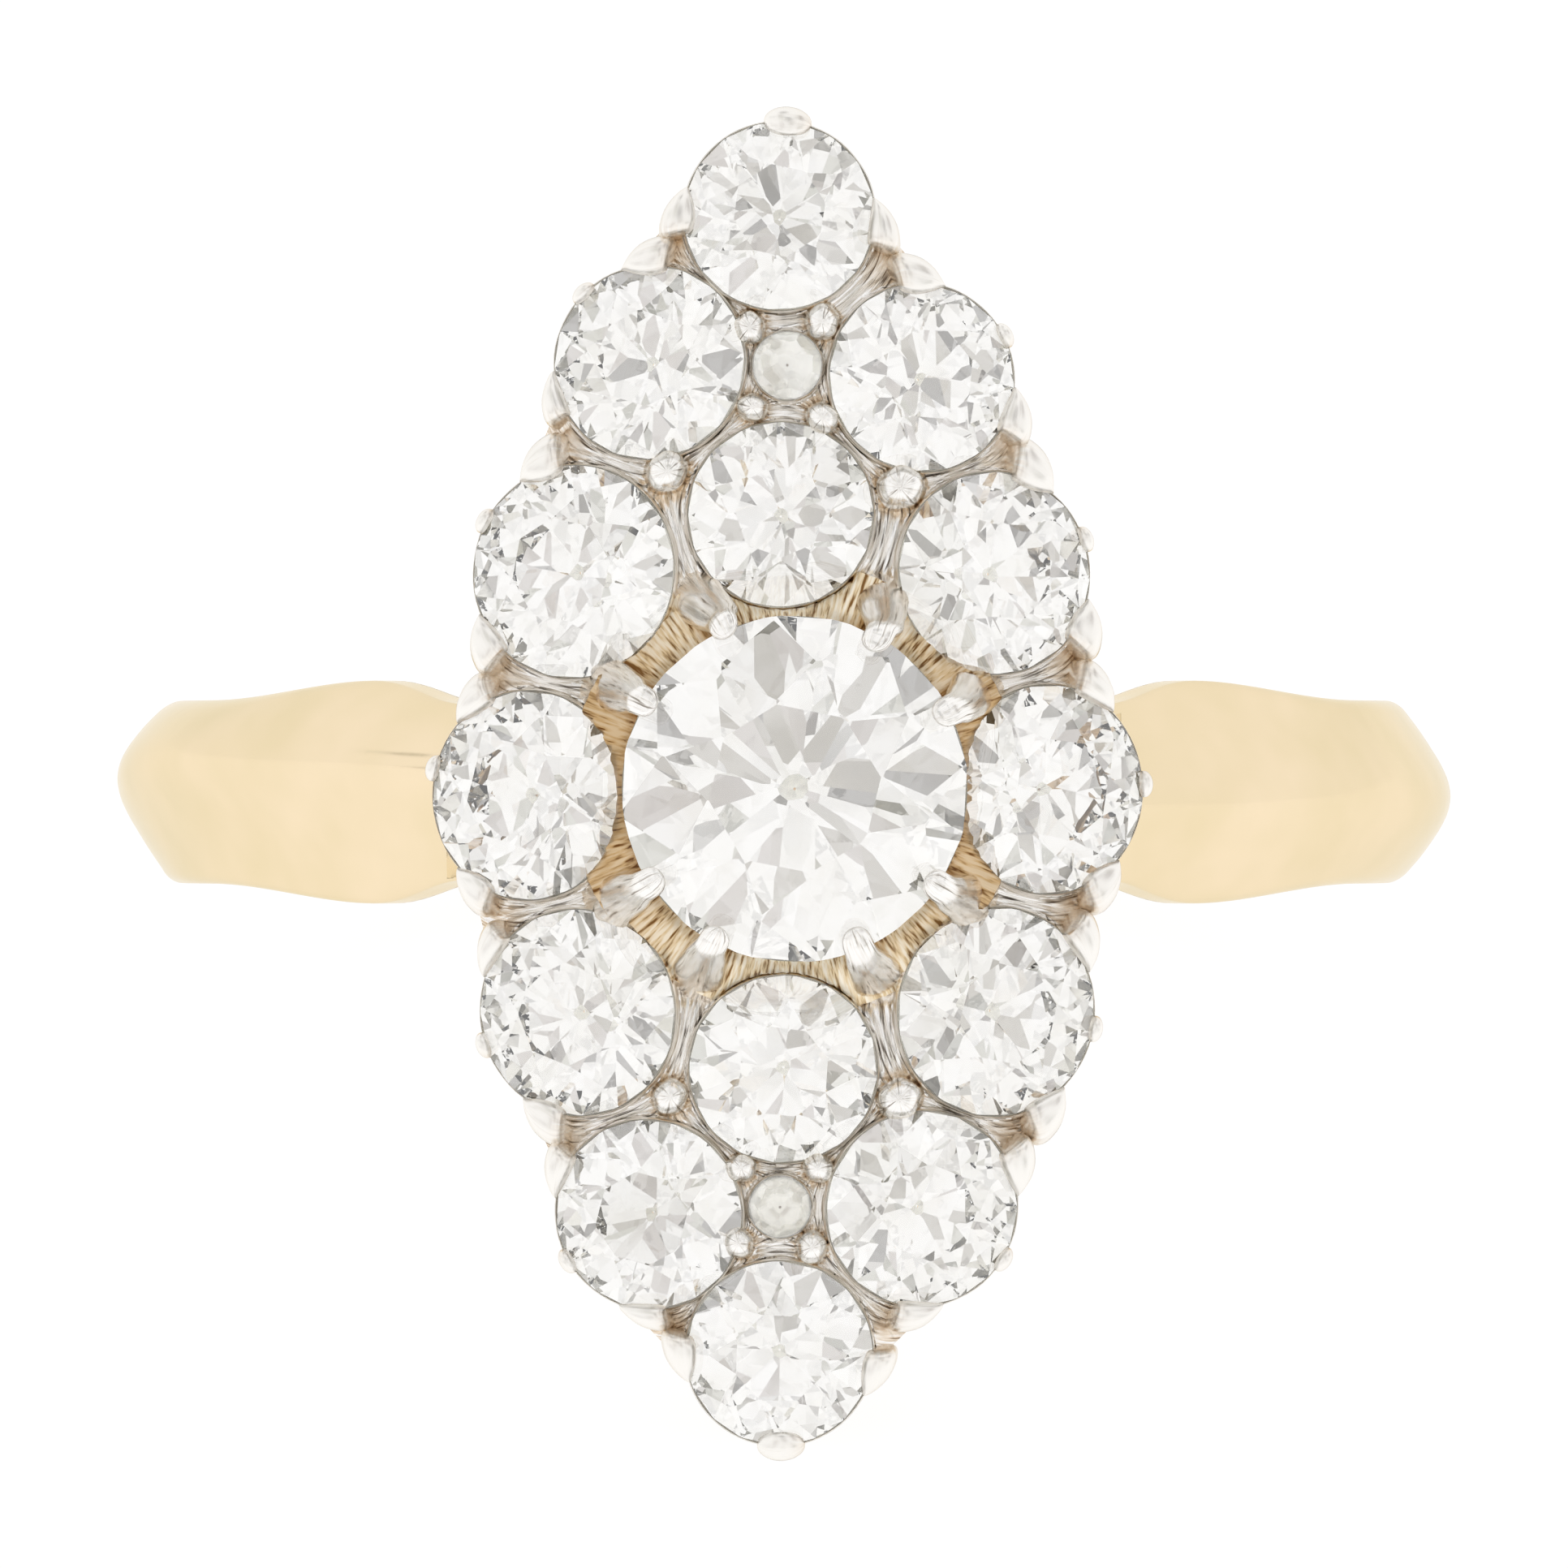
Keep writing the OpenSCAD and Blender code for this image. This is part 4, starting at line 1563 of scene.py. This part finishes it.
    def build(self) -> list[bpy.types.Object]:
        """Builds the diamonds.

        Returns:
            The stones, in the order of STONES.
        """
        material = self.finish.make()
        frosted = self.girdle_finish.make()
        made = []
        for number, stone in enumerate(STONES):
            chance = random.Random(self.first_seed + number)
            rose = stone.cut is Cut.ROSE
            planes = (self.rose_planes if rose else self.brilliant_planes)(stone.r, chance)
            spin = Matrix.Rotation(math.radians(stone.spin), 4, "Z")
            name = stone.node.replace("_diamond", "_stone")
            mesh = self.ground(stone.r, planes, TO_ROW @ stone.seat @ spin, name)
            made.append(hand_over(mesh, name, material, [stone.node], 0))
            mesh.materials.append(frosted)
        return made


@dataclass(frozen=True)
class GreyCard:
    """A grey patch in the white tent round the ring.

    away_deg is its angle from the face's direction, turn_deg its turn round it, and tone its linear colour.
    """

    away_deg: float
    turn_deg: float
    size_deg: float
    tone: tuple[float, float, float]


@dataclass
class Studio:
    """The white tent, the floor and the camera."""

    cards: int = 24
    first_turn_deg: float = 25.0
    reach_deg: float = 78.0
    smallest_deg: float = 4.0
    largest_deg: float = 11.5
    darkest: float = 0.24
    lightest: float = 0.64
    # Turn from one card to the next, and the power of the spiral's growth
    next_turn_deg: float = 137.508
    spread_power: float = 0.6
    # Cards far from the camera are lighter by up to this
    far_lift: float = 0.25
    # A card is full inside this share of its size and fades to its edge
    full_share: float = 0.88
    # Share of green and blue that the grey of a card keeps
    tints: tuple[tuple[float, float], ...] = ((0.97, 0.92), (0.96, 0.94), (1.0, 0.94), (0.98, 0.96))
    seed: int = 5
    floor_half_m: float = 2.0
    # The camera looks straight onto the face, with the picture's middle a little up the finger
    distance_mm: float = 400.0
    px_per_mm: float = 79.0
    picture_px: int = 1932
    middle_y: float = 0.123
    sensor_mm: float = 36.0
    bounces: int = 26
    floor: OpalAcrylic = field(default_factory=OpalAcrylic)

    def scatter(self) -> list[GreyCard]:
        """Scatters the cards on a loose spiral out from the camera's side.

        Returns:
            The cards.
        """
        chance = random.Random(self.seed)
        made = []
        for k in range(self.cards):
            away = self.reach_deg * ((k + 1.2) / self.cards) ** self.spread_power
            turn = self.first_turn_deg + k * self.next_turn_deg + chance.uniform(-20, 20)
            size = chance.uniform(self.smallest_deg, self.largest_deg)
            level = chance.uniform(self.darkest, self.lightest) + self.far_lift * away / self.reach_deg
            green, blue = self.tints[k % len(self.tints)]
            made.append(GreyCard(away, turn, size, (level, level * green, level * blue)))
        return made

    def tent(self) -> None:
        """Lights the ring from a white tent with soft grey patches between its panels."""
        world = bpy.data.worlds.new("studio_tent")
        bpy.context.scene.world = world
        world.use_nodes = True
        tree = world.node_tree
        background = tree.nodes["Background"]
        way = add_node(tree, "ShaderNodeTexCoord").outputs["Generated"]
        tone = add_node(tree, "ShaderNodeRGB").outputs[0]
        tone.default_value = (1.0, 1.0, 1.0, 1.0)
        for card in self.scatter():
            away, spin = math.radians(card.away_deg), math.radians(card.turn_deg)
            aim = Vector((math.sin(away) * math.cos(spin), math.sin(away) * math.sin(spin), math.cos(away)))
            dot = add_node(
                tree, "ShaderNodeVectorMath", {"operation": "DOT_PRODUCT"}, {0: way, 1: tuple(ROW_TURN @ aim)}
            ).outputs["Value"]
            inside = add_node(
                tree,
                "ShaderNodeMapRange",
                {"interpolation_type": "SMOOTHSTEP"},
                {
                    "Value": dot,
                    "From Min": math.cos(math.radians(card.size_deg)),
                    "From Max": math.cos(math.radians(card.size_deg * self.full_share)),
                },
            ).outputs["Result"]
            tone = add_node(
                tree,
                "ShaderNodeMix",
                {"data_type": "RGBA", "blend_type": "MULTIPLY"},
                {"Factor": inside, "A": tone, "B": (*card.tone, 1.0)},
            ).outputs[2]
        tree.links.new(tone, background.inputs["Color"])

    def surface(self) -> None:
        """Lays the floor under the ring's lowest point."""
        low = min(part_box(node)[0].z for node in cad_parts)
        mesh = bpy.data.meshes.new("studio_floor")
        half = self.floor_half_m
        corners = [(x, y, low) for x, y in ((-half, -half), (half, -half), (half, half), (-half, half))]
        mesh.from_pydata(corners, [], [(0, 1, 2, 3)])
        mesh.materials.append(self.floor.make())
        made = bpy.data.objects.new("studio_floor", mesh)
        bpy.context.scene.collection.objects.link(made)

    def camera(self) -> None:
        """Stands the camera on the ring's face, as the photograph does."""
        data = bpy.data.cameras.new("camera")
        data.sensor_width = self.sensor_mm
        data.lens = self.sensor_mm * self.distance_mm / (self.picture_px / self.px_per_mm)
        data.clip_start = 0.01
        data.clip_end = 20.0
        made = bpy.data.objects.new("camera", data)
        bpy.context.scene.collection.objects.link(made)
        place = TO_ROW @ Vector((0, self.middle_y, self.distance_mm))
        made.matrix_world = Matrix.Translation(place) @ ROW_TURN.to_4x4()
        bpy.context.scene.camera = made

    def render_look(self) -> None:
        """Sets how light travels and how the picture is toned."""
        scene = bpy.context.scene
        scene.view_settings.view_transform = "Standard"
        scene.view_settings.look = "None"
        # Light bounces many times inside a diamond before it leaves
        scene.cycles.max_bounces = self.bounces
        scene.cycles.transmission_bounces = self.bounces
        scene.cycles.glossy_bounces = self.bounces
        scene.cycles.diffuse_bounces = 3
        scene.cycles.transparent_max_bounces = 8
        scene.cycles.use_denoising = True

    def build(self) -> None:
        """Sets up the studio."""
        self.tent()
        self.surface()
        self.camera()
        self.render_look()


def main() -> None:
    """Builds the ring piece by piece and reports each one."""
    logging.basicConfig(level=logging.INFO, format="%(name)s: %(message)s")
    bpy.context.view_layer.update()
    Band().build()
    Gallery().build()
    ClawSetting().build()
    DiamondSet().build()
    Studio().build()


if __name__ == "__main__":
    main()
